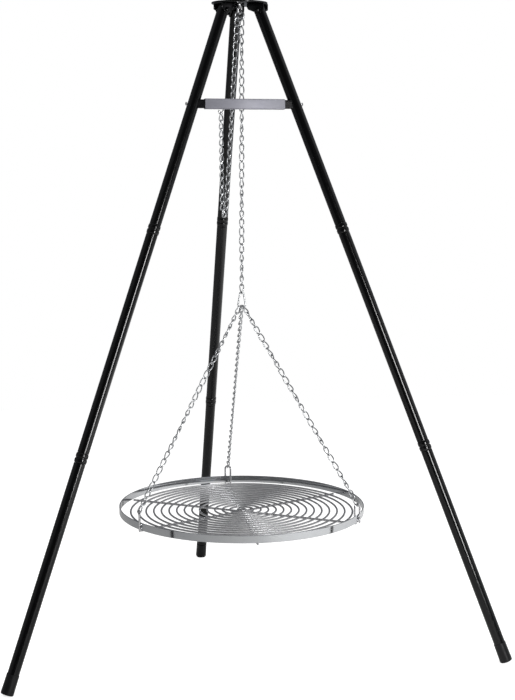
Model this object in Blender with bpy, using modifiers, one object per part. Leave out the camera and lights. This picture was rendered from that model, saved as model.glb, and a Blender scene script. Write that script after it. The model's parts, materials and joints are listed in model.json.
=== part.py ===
"""Camp tripod grill: three jointed tube legs under a top plate, and a round grate on chains.

Metres, +Z up. The legs stand at 90, 210 and 330 degrees, so the rear leg points along +Y and
the crossbar joins the two front legs along X. The origin is on the floor, in the middle of the
footprint's bounding box.
"""

from math import asin, atan2, cos, degrees, hypot, pi, radians, sin, sqrt, tan

import bmesh
import bpy
from mathutils import Matrix, Vector

# General clearances
GAP = 0.0003
BOLT_CLEARANCE = 0.0003

# Legs
PIVOT_RADIUS = 0.050
PIVOT_HEIGHT = 1.5115
FOOT_RADIUS = 0.667
SECTIONS = 3
TUBE_RADIUS = 0.0133
TUBE_WALL = 0.0015
LEG_SIDES = 12
LEG_ANGLES = {"rear": 90, "left": 210, "right": 330}

# Collars between the tube sections
COLLAR_RADIUS = 0.0144
COLLAR_LENGTH = 0.024
COLLAR_GROOVE = 0.0015
COLLAR_RIDGE_SPACING = 0.0094
COLLAR_RIDGE_FLAT = 0.0034
SPIGOT_LENGTH = 0.028
SPIGOT_CLEARANCE = 0.0004

# Foot caps
FOOT_WALL = 0.0010
FOOT_FLARE = 0.0004
FOOT_CAP_LENGTH = 0.045
FOOT_SOLE = 0.009
FOOT_BEND = 0.0025
FOOT_FLAT_DEPTH = 0.0015

# Top plate, its brackets and the cover
PLATE_RADIUS = 0.066
PLATE_THICKNESS = 0.004
PLATE_ABOVE_PIVOT = 0.016
PLATE_EDGE = 0.0012
BRACKET_SHEET = 0.002
BRACKET_SIDE_CLEARANCE = 0.0008
BRACKET_OUT = 0.0155
BRACKET_IN = 0.026
CHEEK_RADIUS = 0.0095
CHEEK_LEDGE = 0.001
BRACKET_CHAMFER = 0.003
RIVET_RADIUS = 0.0028
RIVET_HEAD_RADIUS = 0.0048
RIVET_HEAD_HEIGHT = 0.002
RIVET_INSET = 0.0215
COVER_RADIUS = 0.036
COVER_HEIGHT = 0.0115
COVER_WALL = 0.0013

# Pivot bolts
BOLT_RADIUS = 0.003
BOLT_HEAD_RADIUS = 0.0048
BOLT_HEAD_HEIGHT = 0.003
BOLT_TAIL = 0.0012
NUT_RADIUS = 0.0054
NUT_HEIGHT = 0.005

# Crossbar
BAR_BELOW_PIVOT = 0.2178
BAR_SIDE = 0.020
SLEEVE_SIDE = 0.024
SLEEVE_INSET = 0.0265
SLEEVE_CORNER = 0.0028
SCREW_RADIUS = 0.0025
SCREW_HEAD_RADIUS = 0.0046
SCREW_HEAD_HEIGHT = 0.0028
SCREW_GRIP = 0.014

# Eye bolt and ring under the plate
EYE_ROD = 0.003
EYE_RADIUS = 0.0085
EYE_DROP = 0.001
EYE_TURN = 318
EYE_NUT_RADIUS = 0.0062
EYE_NUT_HEIGHT = 0.005
RING_WIRE = 0.00225
RING_RADIUS = 0.0115
STRAND_ANGLE = 52

# Chain
WIRE = 0.0015
PITCH = 0.0195
LINK_HALF_WIDTH = 0.00515
LINK_BITE = 0.0006
LINK_TWIST = 90
MAIN_TURN = 19
END_LINK_TURN = -6
WIRE_SIDES = 4
LINK_POINTS = 6

# Pear link
PEAR_ABOVE_RIM = 0.526
PEAR_HEIGHT = 0.040
PEAR_HALF_WIDTH = 0.0110
PEAR_WIRE = 0.0018
PEAR_TOP_RADIUS = 0.0048
PEAR_CORNER = 0.0041
SLING_SPREAD = 0.0051
SLING_TURNS = {"rear": 4, "left": 15, "right": 33}

# Grate
GRATE_RADIUS = 0.3015
GRATE_TURN = -2.9
RIM_BOTTOM = 0.3055
RIM_HEIGHT = 0.018
RIM_THICKNESS = 0.0025
RIM_SIDES = 48
RIM_TO_RING = 0.028
INNER_RING_RADIUS = 0.0102
RING_SPACING = 0.0187
FEWEST_RING_SIDES = 10
MOST_RING_SIDES = 26
GRID_WIRE = 0.0024
SPOKE_WIRE = 0.0027
WELD = 0.0006

# Grate hangers
HANGER_ROD = 0.0025
HANGER_SPREAD = 0.0065
HANGER_RISE = 0.029
HANGER_DROP = 0.0035

# Chain catch behind the crossbar and hook under it
CATCH_X = -0.025
CATCH_Y = 0.012
CATCH_BELOW_BAR = 0.001
CATCH_SHEET = 0.002
CATCH_WIDTH = 0.020
CATCH_DEPTH = 0.025
CATCH_FLANGE = 0.009
SLOT_WIDTH = 0.0056
HOOK_INSET = 0.0383
HOOK_ROD = 0.0019
HOOK_DROP = 0.010
HOOK_RADIUS = 0.005

# Slack chain loop
LOOP_BELOW_BAR = 0.262
LOOP_FROM_HOOK = 0.0080
LOOP_HALF_GAP = 0.0071
LOOP_ROLL = 135

# Colours
BLACK = (0.012, 0.012, 0.013, 1)
SOFT_BLACK = (0.02, 0.02, 0.021, 1)
SILVER = (0.52, 0.52, 0.55, 1)
ZINC = (0.60, 0.61, 0.62, 1)
STEEL = (0.66, 0.66, 0.67, 1)

# Sizes worked out from the ones above
tilt = atan2(FOOT_RADIUS - PIVOT_RADIUS, PIVOT_HEIGHT)
leg_length = hypot(FOOT_RADIUS - PIVOT_RADIUS, PIVOT_HEIGHT)
section = leg_length / SECTIONS
bar_height = PIVOT_HEIGHT - BAR_BELOW_PIVOT
bar_share = BAR_BELOW_PIVOT / PIVOT_HEIGHT
bar_radius = PIVOT_RADIUS + bar_share * (FOOT_RADIUS - PIVOT_RADIUS)
bar_half_span = bar_radius * cos(radians(30))
bar_y = -bar_radius / 2
sleeve_half = bar_half_span - SLEEVE_INSET
hook_x = HOOK_INSET - sleeve_half
tube_bore = TUBE_RADIUS - TUBE_WALL
foot_outer = TUBE_RADIUS + FOOT_WALL + FOOT_FLARE
foot_end = (PIVOT_HEIGHT + FOOT_FLAT_DEPTH - (foot_outer - FOOT_BEND) * sin(tilt)) / cos(tilt)
plate_bottom = PIVOT_HEIGHT + PLATE_ABOVE_PIVOT
plate_top = plate_bottom + PLATE_THICKNESS
web_top = PLATE_ABOVE_PIVOT - GAP
web_bottom = web_top - BRACKET_SHEET
bracket_half = TUBE_RADIUS + BRACKET_SIDE_CLEARANCE + BRACKET_SHEET
eye_centre_z = plate_bottom - EYE_DROP - EYE_ROD - EYE_RADIUS
ring_centre_z = eye_centre_z - EYE_RADIUS + EYE_ROD + GAP + RING_WIRE - RING_RADIUS
saddle_z = ring_centre_z - sqrt(RING_RADIUS**2 - LINK_HALF_WIDTH**2) + RING_WIRE + 2 * GAP + WIRE
saddle_half = PITCH / 2 + WIRE
rim_top = RIM_BOTTOM + RIM_HEIGHT
pear_top_z = rim_top + PEAR_ABOVE_RIM
outer_ring = GRATE_RADIUS - RIM_TO_RING
strand = Vector((cos(radians(STRAND_ANGLE)), sin(radians(STRAND_ANGLE)), 0))
across = Vector((-strand.y, strand.x, 0))
x_axis, y_axis, z_axis = Vector((1, 0, 0)), Vector((0, 1, 0)), Vector((0, 0, 1))


def clear_scene():
    for obj in list(bpy.data.objects):
        bpy.data.objects.remove(obj, do_unlink=True)


def new_collection(name, hidden=False):
    found = bpy.data.collections.new(name)
    bpy.context.scene.collection.children.link(found)
    found.hide_render = hidden
    return found


def new_material(name, colour, roughness, metallic):
    made = bpy.data.materials.new(name)
    made.use_nodes = True
    shader = made.node_tree.nodes["Principled BSDF"]
    shader.inputs["Base Color"].default_value = colour
    shader.inputs["Roughness"].default_value = roughness
    shader.inputs["Metallic"].default_value = metallic
    return made


clear_scene()
parts = new_collection("tripod_grill")
helpers = new_collection("cutters", hidden=True)
powder_coat = new_material("black powder coat", BLACK, 0.28, 0.0)
black_plastic = new_material("black plastic", SOFT_BLACK, 0.45, 0.0)
silver_paint = new_material("satin silver", SILVER, 0.38, 0.6)
zinc = new_material("bright zinc", ZINC, 0.28, 1.0)
steel = new_material("polished steel", STEEL, 0.2, 1.0)


def new_empty(name, parent=None, location=(0, 0, 0), rotation=(0, 0, 0)):
    empty = bpy.data.objects.new(name, None)
    parts.objects.link(empty)
    empty.empty_display_size = 0.02
    empty.location = location
    empty.rotation_euler = rotation
    empty.parent = parent
    return empty


def new_object(name, data, parent=None, look=None, cutter=False):
    obj = bpy.data.objects.new(name, data)
    (helpers if cutter else parts).objects.link(obj)
    obj.parent = parent
    if look:
        obj.data.materials.append(look)
    if cutter:
        obj.hide_render = True
        obj.display_type = "WIRE"
    return obj


def turned(name, profile, sides, parent=None, look=None, closed=False, cutter=False):
    """A turned piece about Z. The profile's (radius, height) points run down the outer side."""
    mesh = bpy.data.meshes.new(name)
    edges = [(n, n + 1) for n in range(len(profile) - 1)]
    if closed:
        edges.append((len(profile) - 1, 0))
    mesh.from_pydata([(r, 0, z) for r, z in profile], edges, [])
    obj = new_object(name, mesh, parent, look, cutter)
    screw = obj.modifiers.new("Turn", "SCREW")
    screw.steps = screw.render_steps = sides
    screw.use_merge_vertices = True
    screw.merge_threshold = 0.00005
    screw.use_smooth_shade = True
    return obj


def box_mesh(name, size, centre=(0, 0, 0)):
    mesh = bpy.data.meshes.new(name)
    bm = bmesh.new()
    bmesh.ops.create_cube(bm, size=1)
    bmesh.ops.scale(bm, vec=size, verts=bm.verts)
    bmesh.ops.translate(bm, vec=centre, verts=bm.verts)
    bm.to_mesh(mesh)
    bm.free()
    return mesh


def rod_mesh(name, radius, length, sides):
    """A straight round rod centred on its origin, along Z."""
    mesh = bpy.data.meshes.new(name)
    bm = bmesh.new()
    bmesh.ops.create_cone(bm, cap_ends=True, segments=sides, radius1=radius, radius2=radius, depth=length)
    bm.to_mesh(mesh)
    bm.free()
    return mesh


def boolean(obj, other, operation="DIFFERENCE"):
    modifier = obj.modifiers.new(operation.title(), "BOOLEAN")
    modifier.operation = operation
    modifier.solver = "EXACT"
    modifier.object = other


def curve_mesh_object(curve_object, name, parent=None, look=None):
    """The mesh of a curve object, with its caps welded, as an object of its own."""
    bpy.context.view_layer.update()
    graph = bpy.context.evaluated_depsgraph_get()
    mesh = bpy.data.meshes.new_from_object(curve_object.evaluated_get(graph))
    bm = bmesh.new()
    bm.from_mesh(mesh)
    bmesh.ops.remove_doubles(bm, verts=bm.verts, dist=0.00002)
    bm.to_mesh(mesh)
    bm.free()
    mesh.materials.clear()
    obj = new_object(name, mesh, parent, look)
    obj.matrix_local = curve_object.matrix_local
    bpy.data.objects.remove(curve_object, do_unlink=True)
    mesh.name = name
    return obj


def bent_rod(name, points, radius, parent=None, look=None, closed=False, resolution=1):
    """A round rod along the points, with filled caps where it is open."""
    curve = bpy.data.curves.new(name, "CURVE")
    curve.dimensions = "3D"
    curve.bevel_depth = radius
    curve.bevel_resolution = resolution
    curve.use_fill_caps = not closed
    spline = curve.splines.new("POLY")
    spline.points.add(len(points) - 1)
    for point, co in zip(spline.points, points):
        point.co = (*co, 1)
    spline.use_cyclic_u = closed
    return new_object(name, curve, parent, look)


def flat_outline(name, points, thickness):
    """A plate of the outline's shape in XY, with half of its thickness on each side."""
    curve = bpy.data.curves.new(name, "CURVE")
    curve.dimensions = "2D"
    curve.fill_mode = "BOTH"
    curve.extrude = thickness / 2
    spline = curve.splines.new("POLY")
    spline.points.add(len(points) - 1)
    for point, co in zip(spline.points, points):
        point.co = (co[0], co[1], 0, 1)
    spline.use_cyclic_u = True
    return new_object(name, curve)


def arc(centre, radius, start, end, steps):
    """Points of an arc in a plane, with its angles in degrees."""
    angles = [radians(start + (end - start) * n / steps) for n in range(steps + 1)]
    return [(centre[0] + radius * cos(a), centre[1] + radius * sin(a)) for a in angles]


def polar(radius, angle, height=0.0):
    return Vector((radius * cos(radians(angle)), radius * sin(radians(angle)), height))


# The footprint's box reaches from the front feet to the rear foot
foot_centre = PIVOT_RADIUS + (foot_end - FOOT_BEND) * sin(tilt)
rear_reach = foot_centre + foot_outer * cos(tilt)
front_reach = foot_centre / 2 + foot_outer * hypot(cos(radians(30)), cos(tilt) / 2)
middle = new_empty("grill_middle", location=(0, -(rear_reach - front_reach) / 2, 0))


def leg_tube(side, section_name, top, bottom, leg):
    """One tube section, open at both ends, between two distances below the pivot."""
    profile = [
        (TUBE_RADIUS, -top),
        (TUBE_RADIUS, -bottom),
        (tube_bore, -bottom),
        (tube_bore, -top),
    ]
    return turned(f"leg_{side}_{section_name}", profile, LEG_SIDES, leg, powder_coat, closed=True)


def collar(side, number, distance, leg):
    """The collar with two round ridges between two tube sections, and a spigot in each of them."""
    spigot = tube_bore * cos(pi / LEG_SIDES) - SPIGOT_CLEARANCE
    half = COLLAR_LENGTH / 2
    groove = COLLAR_RADIUS - COLLAR_GROOVE
    near = (COLLAR_RIDGE_SPACING - COLLAR_RIDGE_FLAT) / 2
    far = (COLLAR_RIDGE_SPACING + COLLAR_RIDGE_FLAT) / 2
    end = half + SPIGOT_LENGTH
    profile = [(0, end), (spigot, end), (spigot, half), (groove, half), (COLLAR_RADIUS, far)]
    profile += [(COLLAR_RADIUS, near), (groove, 0), (COLLAR_RADIUS, -near)]
    profile += [(COLLAR_RADIUS, -far), (groove, -half), (spigot, -half), (spigot, -end), (0, -end)]
    obj = turned(f"collar_{side}_{number}", profile, LEG_SIDES, leg, powder_coat)
    obj.location = (0, 0, -distance)


def foot_cap(side, leg):
    """A cap over the tube's end, square to the tube, with a flat where it stands on the floor."""
    bore = TUBE_RADIUS + GAP
    neck = TUBE_RADIUS + FOOT_WALL
    top = -(foot_end - FOOT_CAP_LENGTH)
    inner_end = -(foot_end - FOOT_SOLE)
    profile = [(neck, top), (neck, (top + inner_end) / 2), (foot_outer, inner_end)]
    profile += arc((foot_outer - FOOT_BEND, FOOT_BEND - foot_end), FOOT_BEND, 0, -90, 2)
    profile += [(0, -foot_end), (0, inner_end), (bore, inner_end), (bore, top)]
    cap = turned(f"foot_cap_{side}", profile, LEG_SIDES, leg, black_plastic, closed=True)
    size = 4 * foot_outer
    block = box_mesh(f"floor_under_{side}", (size, size, size))
    floor = new_object(f"floor_under_{side}", block, middle, cutter=True)
    floor.location = polar(FOOT_RADIUS, LEG_ANGLES[side], -size / 2)
    boolean(cap, floor)


def cross_hole(obj, name, radius, parent, location, length, rotation=(radians(90), 0, 0), sides=8):
    """A round hole through an object, along Y of its parent unless turned otherwise."""
    cutter = new_object(name, rod_mesh(name, radius / cos(pi / sides), length, sides), parent, cutter=True)
    cutter.location = location
    cutter.rotation_euler = rotation
    boolean(obj, cutter)


def top_overrun():
    """How far the tube runs past its pivot, so that its outer corner stops on the bracket's web."""
    reach = web_bottom - GAP
    best = 0.0
    for n in range(200):
        over = n * 0.0001
        corner = hypot(over, TUBE_RADIUS)
        lift = corner * cos(atan2(TUBE_RADIUS, over) - tilt)
        if lift < reach:
            best = over
    return best


def build_leg(side):
    angle = LEG_ANGLES[side]
    leg = new_empty(
        f"leg_{side}_pivot",
        middle,
        polar(PIVOT_RADIUS, angle, PIVOT_HEIGHT),
        (0, -tilt, radians(angle)),
    )
    half = COLLAR_LENGTH / 2 + GAP
    tube_end = foot_end - FOOT_SOLE - GAP
    upper = leg_tube(side, "upper", -top_overrun(), section - half, leg)
    leg_tube(side, "middle", section + half, 2 * section - half, leg)
    leg_tube(side, "lower", 2 * section + half, tube_end, leg)
    cross_hole(upper, f"pivot_hole_{side}", BOLT_RADIUS + BOLT_CLEARANCE, leg, (0, 0, 0), 4 * TUBE_RADIUS)
    collar(side, 1, section, leg)
    collar(side, 2, 2 * section, leg)
    foot_cap(side, leg)
    return leg, upper


def build_bracket(side):
    """A folded bracket under the plate: a web on top and a cheek on each side of the tube."""
    angle = LEG_ANGLES[side]
    frame = new_empty(
        f"bracket_{side}_frame", middle, polar(PIVOT_RADIUS, angle, PIVOT_HEIGHT), (0, 0, radians(angle))
    )
    outline = [(-BRACKET_IN, web_top), (-BRACKET_IN + BRACKET_CHAMFER, CHEEK_LEDGE)]
    outline += arc((0, 0), CHEEK_RADIUS, -150, -10, 5)
    outline += [(BRACKET_OUT, CHEEK_LEDGE), (BRACKET_OUT, web_top)]
    block = flat_outline(f"bracket_{side}_outline", outline, 2 * bracket_half)
    block.parent = frame
    block.rotation_euler = (radians(90), 0, 0)
    bracket = curve_mesh_object(block, f"bracket_{side}", frame, powder_coat)
    length = 2 * (BRACKET_IN + BRACKET_OUT)
    inside = box_mesh(
        f"bracket_{side}_inside",
        (length, 2 * (TUBE_RADIUS + BRACKET_SIDE_CLEARANCE), length),
        (0, 0, web_bottom - length / 2),
    )
    boolean(bracket, new_object(f"bracket_{side}_room", inside, frame, cutter=True))
    bolt_hole = BOLT_RADIUS + BOLT_CLEARANCE
    cross_hole(bracket, f"cheek_hole_{side}", bolt_hole, frame, (0, 0, 0), 4 * bracket_half)
    cross_hole(
        bracket,
        f"web_hole_{side}",
        RIVET_RADIUS + BOLT_CLEARANCE,
        frame,
        (-RIVET_INSET, 0, web_top),
        6 * BRACKET_SHEET,
        (0, 0, 0),
    )
    return frame


def build_pivot_bolt(side, frame):
    """A domed bolt through the cheeks and the tube, with its nut on the far cheek."""
    head = bracket_half + GAP
    end = bracket_half + GAP + NUT_HEIGHT + BOLT_TAIL
    dome = arc((0, head), 1, 90, 0, 3)
    profile = [(BOLT_HEAD_RADIUS * x, head + BOLT_HEAD_HEIGHT * (z - head)) for x, z in dome]
    profile += [(BOLT_RADIUS, head), (BOLT_RADIUS, -end), (0, -end)]
    bolt = turned(f"pivot_bolt_{side}", profile, 8, frame, powder_coat)
    bolt.rotation_euler = (radians(90), 0, 0)
    bore = (BOLT_RADIUS + BOLT_CLEARANCE) / cos(pi / 6)
    top = -(bracket_half + GAP)
    under = top - NUT_HEIGHT
    section_points = [(NUT_RADIUS, top), (NUT_RADIUS, under), (bore, under), (bore, top)]
    nut = turned(f"pivot_nut_{side}", section_points, 6, frame, powder_coat, closed=True)
    nut.rotation_euler = (radians(90), 0, 0)


def build_rivet(side):
    """The rivet that holds a bracket's web to the plate."""
    head = plate_top + GAP
    under = PIVOT_HEIGHT + web_bottom - GAP
    profile = [(0, head + RIVET_HEAD_HEIGHT), (RIVET_HEAD_RADIUS * 0.7, head + RIVET_HEAD_HEIGHT * 0.8)]
    profile += [(RIVET_HEAD_RADIUS, head), (RIVET_RADIUS, head), (RIVET_RADIUS, under)]
    profile += [(RIVET_HEAD_RADIUS * 0.8, under), (RIVET_HEAD_RADIUS * 0.6, under - RIVET_HEAD_HEIGHT / 2)]
    profile += [(0, under - RIVET_HEAD_HEIGHT / 2)]
    rivet = turned(f"bracket_rivet_{side}", profile, 8, middle, zinc)
    rivet.location = polar(PIVOT_RADIUS - RIVET_INSET, LEG_ANGLES[side])


def build_top_plate():
    bore = EYE_ROD + BOLT_CLEARANCE * 2
    edge = PLATE_EDGE
    profile = [(bore, plate_top), (PLATE_RADIUS - edge, plate_top), (PLATE_RADIUS, plate_top - edge)]
    profile += [(PLATE_RADIUS, plate_bottom + edge), (PLATE_RADIUS - edge, plate_bottom)]
    profile += [(bore, plate_bottom)]
    plate = turned("top_plate", profile, 30, middle, powder_coat, closed=True)
    for side, angle in LEG_ANGLES.items():
        cross_hole(
            plate,
            f"plate_hole_{side}",
            RIVET_RADIUS + BOLT_CLEARANCE,
            middle,
            polar(PIVOT_RADIUS - RIVET_INSET, angle, plate_bottom),
            4 * PLATE_THICKNESS,
            (0, 0, 0),
        )


def build_cover():
    """The domed cover over the eye bolt's nut and the rivet heads."""
    foot = plate_top + GAP
    outer = [(COVER_RADIUS * x, foot + COVER_HEIGHT * z) for x, z in arc((0, 0), 1, 90, 0, 4)]
    inner = [
        ((COVER_RADIUS - COVER_WALL) * x, foot + (COVER_HEIGHT - COVER_WALL) * z)
        for x, z in arc((0, 0), 1, 0, 90, 4)
    ]
    turned("top_cover", outer + inner, 20, middle, silver_paint)


def build_eye_bolt():
    """A rod bent into an eye under the plate, with its shank up through the plate."""
    shank_top = plate_top + GAP + EYE_NUT_HEIGHT + 2 * BOLT_TAIL
    turn = [(x, z) for x, z in arc((0, eye_centre_z), EYE_RADIUS, 90, 90 - EYE_TURN, 12)]
    points = [(0, 0, shank_top)] + [tuple(strand * x + z_axis * z) for x, z in turn]
    bent_rod("eye_bolt", points, EYE_ROD, middle, zinc)
    bore = (EYE_ROD + BOLT_CLEARANCE) / cos(pi / 6)
    low = plate_top + GAP
    high = low + EYE_NUT_HEIGHT
    nut = [(EYE_NUT_RADIUS, high), (EYE_NUT_RADIUS, low), (bore, low), (bore, high)]
    turned("eye_bolt_nut", nut, 6, middle, zinc, closed=True)


def build_ring():
    """The ring in the eye, which the chain runs over."""
    bpy.ops.mesh.primitive_torus_add(
        major_radius=RING_RADIUS, minor_radius=RING_WIRE, major_segments=16, minor_segments=6
    )
    ring = bpy.context.object
    ring.name = ring.data.name = "top_ring"
    for held in list(ring.users_collection):
        held.objects.unlink(ring)
    parts.objects.link(ring)
    ring.data.materials.append(zinc)
    ring.parent = middle
    ring.rotation_euler = (radians(90), 0, radians(STRAND_ANGLE + 90))
    ring.location = (0, 0, ring_centre_z)


def link_mesh(name, half_length, twist=LINK_TWIST):
    """One link in XZ: a ring of wire, drawn out along Z and twisted about it."""
    radius = LINK_HALF_WIDTH / cos(pi / LINK_POINTS)
    bpy.ops.mesh.primitive_torus_add(
        major_radius=radius, minor_radius=WIRE, major_segments=LINK_POINTS, minor_segments=WIRE_SIDES
    )
    maker = bpy.context.object
    mesh = maker.data
    mesh.name = name
    bm = bmesh.new()
    bm.from_mesh(mesh)
    bmesh.ops.rotate(bm, matrix=Matrix.Rotation(pi / LINK_POINTS, 3, "Z"), verts=bm.verts)
    bmesh.ops.rotate(bm, matrix=Matrix.Rotation(pi / 2, 3, "X"), verts=bm.verts)
    stretch = half_length - radius
    for vert in bm.verts:
        vert.co.z += stretch if vert.co.z > 0 else -stretch
        turn = radians(twist / 2) * vert.co.z / half_length
        vert.co.rotate(Matrix.Rotation(turn, 3, "Z"))
    bm.to_mesh(mesh)
    bm.free()
    bpy.data.objects.remove(maker, do_unlink=True)
    return mesh


def link_axes(start, end):
    """A link's axes between two contact points: Z back to the start, X and Y square to it."""
    z = (start - end).normalized()
    y = (y_axis - z * y_axis.dot(z)).normalized()
    return y.cross(z), y, z


def link_place(start, end, roll):
    x, y, z = link_axes(start, end)
    turn = Matrix.Rotation(radians(roll), 3, "Z")
    axes = Matrix((x, y, z)).transposed() @ turn
    return Matrix.Translation((start + end) / 2) @ axes.to_4x4()


def crossing_roll(start, end, wire):
    """The roll, in degrees, of an arc about the link's Z that crosses a wire squarely."""
    x, y, z = link_axes(start, end)
    level = z.cross(wire)
    return degrees(atan2(level.dot(y), level.dot(x)))


def seat(rod):
    """How far a link's end stays from the centre of a rod that sits in its pointed end."""
    return rod / cos(pi / LINK_POINTS) + GAP + LINK_BITE / 2


def straight_links(start, start_rod, end, end_rod, wires, turn_per_link):
    """The contact points and rolls of a straight chain that hangs between two rods."""
    up = (start - end).normalized()
    first = start + up * seat(start_rod)
    last = end - up * seat(end_rod)
    count = round((last - first).length / PITCH)
    points = [first.lerp(last, n / count) for n in range(count + 1)]
    begin = crossing_roll(first, last, wires[0]) - LINK_TWIST / 2
    finish = crossing_roll(first, last, wires[1]) + LINK_TWIST / 2
    whole = finish - begin
    whole += 180 * round((turn_per_link * (count - 1) - whole) / 180)
    return points, [begin + whole * n / (count - 1) for n in range(count)]


def link_ends(points):
    """The centres of the wire at both ends of each link, which hook into one another."""
    ways = [(a - b).normalized() for a, b in zip(points, points[1:])]
    pulls = [ways[0]] + [(a + b).normalized() for a, b in zip(ways, ways[1:])] + [ways[-1]]
    reach = WIRE - LINK_BITE / 2
    tops = [point + pull * reach for point, pull in zip(points, pulls)]
    bottoms = [point - pull * reach for point, pull in zip(points, pulls)]
    return list(zip(tops[:-1], bottoms[1:]))


def chain(name, points, rolls, parent, first=0, last=None):
    """Links between the contact points, every second one joined to its neighbours by a union."""
    ends = link_ends(points)
    numbers = range(len(ends))[first:last]
    shapes = {}
    halves = []
    for half in (0, 1):
        bm = bmesh.new()
        for n in numbers[half::2]:
            top, bottom = ends[n]
            length = round((top - bottom).length, 6)
            if length not in shapes:
                shapes[length] = link_mesh(f"{name}_link", length / 2)
            before = len(bm.verts)
            bm.from_mesh(shapes[length])
            bm.verts.ensure_lookup_table()
            bmesh.ops.transform(bm, matrix=link_place(top, bottom, rolls[n]), verts=bm.verts[before:])
        mesh = bpy.data.meshes.new(f"{name}_{'even' if half else 'odd'}")
        bm.to_mesh(mesh)
        bm.free()
        halves.append(mesh)
    obj = new_object(name, halves[0], parent, zinc)
    boolean(obj, new_object(f"{name}_other_half", halves[1], parent, cutter=True), "UNION")
    return obj


def single_link(name, top, bottom, roll, parent):
    """One link as a piece of its own, between the centres of the wire at its ends."""
    obj = new_object(name, link_mesh(f"{name}_mesh", (top - bottom).length / 2), parent, zinc)
    obj.matrix_local = link_place(top, bottom, roll)
    return obj


def build_saddle_link():
    """The link that lies over the ring's wire, between the two strands."""
    obj = new_object("chain_saddle_link", link_mesh("saddle_mesh", saddle_half, 0), middle, zinc)
    axes = Matrix((across, z_axis, across.cross(z_axis))).transposed()
    obj.matrix_local = Matrix.Translation((0, 0, saddle_z)) @ axes.to_4x4()


def pear_points():
    """The pear link's centre line in XZ, relative to its top."""
    half = PEAR_HALF_WIDTH - PEAR_WIRE
    low = -PEAR_HEIGHT + PEAR_WIRE
    top = arc((0, -PEAR_WIRE - PEAR_TOP_RADIUS), PEAR_TOP_RADIUS, 180, 0, 4)
    right = arc((half - PEAR_CORNER, low + PEAR_CORNER), PEAR_CORNER, 10, -90, 3)
    left = arc((-half + PEAR_CORNER, low + PEAR_CORNER), PEAR_CORNER, 270, 170, 3)
    return top + right + left


def hanger_frame(angle):
    """A hanger's middle on the rim, its outward and its sideways directions."""
    outward = polar(1, angle)
    sideways = Vector((-outward.y, outward.x, 0))
    return polar(GRATE_RADIUS - RIM_THICKNESS / 2, angle), outward, sideways


def build_hanger(side, grate):
    """A bent rod over the rim, with one leg on its outer face and one on its inner face."""
    middle_point, outward, sideways = hanger_frame(LEG_ANGLES[side] + GRATE_TURN)
    step = RIM_THICKNESS / 2 + HANGER_ROD + GAP
    low = RIM_BOTTOM - HANGER_DROP
    top = rim_top + HANGER_RISE - HANGER_ROD
    points = []
    for x, z in [(HANGER_SPREAD, low)] + arc((0, top - HANGER_SPREAD), HANGER_SPREAD, 0, 180, 6) + [
        (-HANGER_SPREAD, low)
    ]:
        share = x / HANGER_SPREAD
        points.append(middle_point + sideways * x + outward * step * share + z_axis * z)
    bent_rod(f"hanger_{side}", points, HANGER_ROD, grate, steel)
    return middle_point + z_axis * top, (sideways * HANGER_SPREAD + outward * step).normalized()


def build_rim(grate):
    inner = GRATE_RADIUS - RIM_THICKNESS
    profile = [(GRATE_RADIUS, rim_top), (GRATE_RADIUS, RIM_BOTTOM), (inner, RIM_BOTTOM), (inner, rim_top)]
    rim = turned("grate_rim", profile, RIM_SIDES, grate, steel, closed=True)
    rim.rotation_euler = (0, 0, radians(GRATE_TURN))


def build_grid(grate):
    """Concentric rings welded on three rods that cross in the middle and end under the rim."""
    spoke_z = RIM_BOTTOM - GAP - SPOKE_WIRE
    ring_z = spoke_z + SPOKE_WIRE + GRID_WIRE - WELD
    bm = bmesh.new()
    steps = round((outer_ring - INNER_RING_RADIUS) / RING_SPACING)
    for n in range(steps + 1):
        radius = outer_ring - (outer_ring - INNER_RING_RADIUS) * n / steps
        sides = FEWEST_RING_SIDES + (MOST_RING_SIDES - FEWEST_RING_SIDES) * radius / outer_ring
        segments = 2 * round(sides / 2)
        bpy.ops.mesh.primitive_torus_add(
            major_radius=radius, minor_radius=GRID_WIRE, major_segments=segments, minor_segments=4
        )
        maker = bpy.context.object
        bm.from_mesh(maker.data)
        bpy.data.objects.remove(maker, do_unlink=True)
    mesh = bpy.data.meshes.new("grate_grid")
    bm.to_mesh(mesh)
    bm.free()
    grid = new_object("grate_grid", mesh, grate, steel)
    grid.location = (0, 0, ring_z)
    for side, angle in LEG_ANGLES.items():
        rod = new_object(
            f"spoke_{side}",
            rod_mesh(f"spoke_{side}", SPOKE_WIRE, 2 * (GRATE_RADIUS - RIM_THICKNESS / 2), 6),
            grate,
            cutter=True,
        )
        rod.location = (0, 0, spoke_z)
        rod.rotation_euler = (radians(90), radians(30), radians(angle + GRATE_TURN + 90))
        boolean(grid, rod, "UNION")


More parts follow.
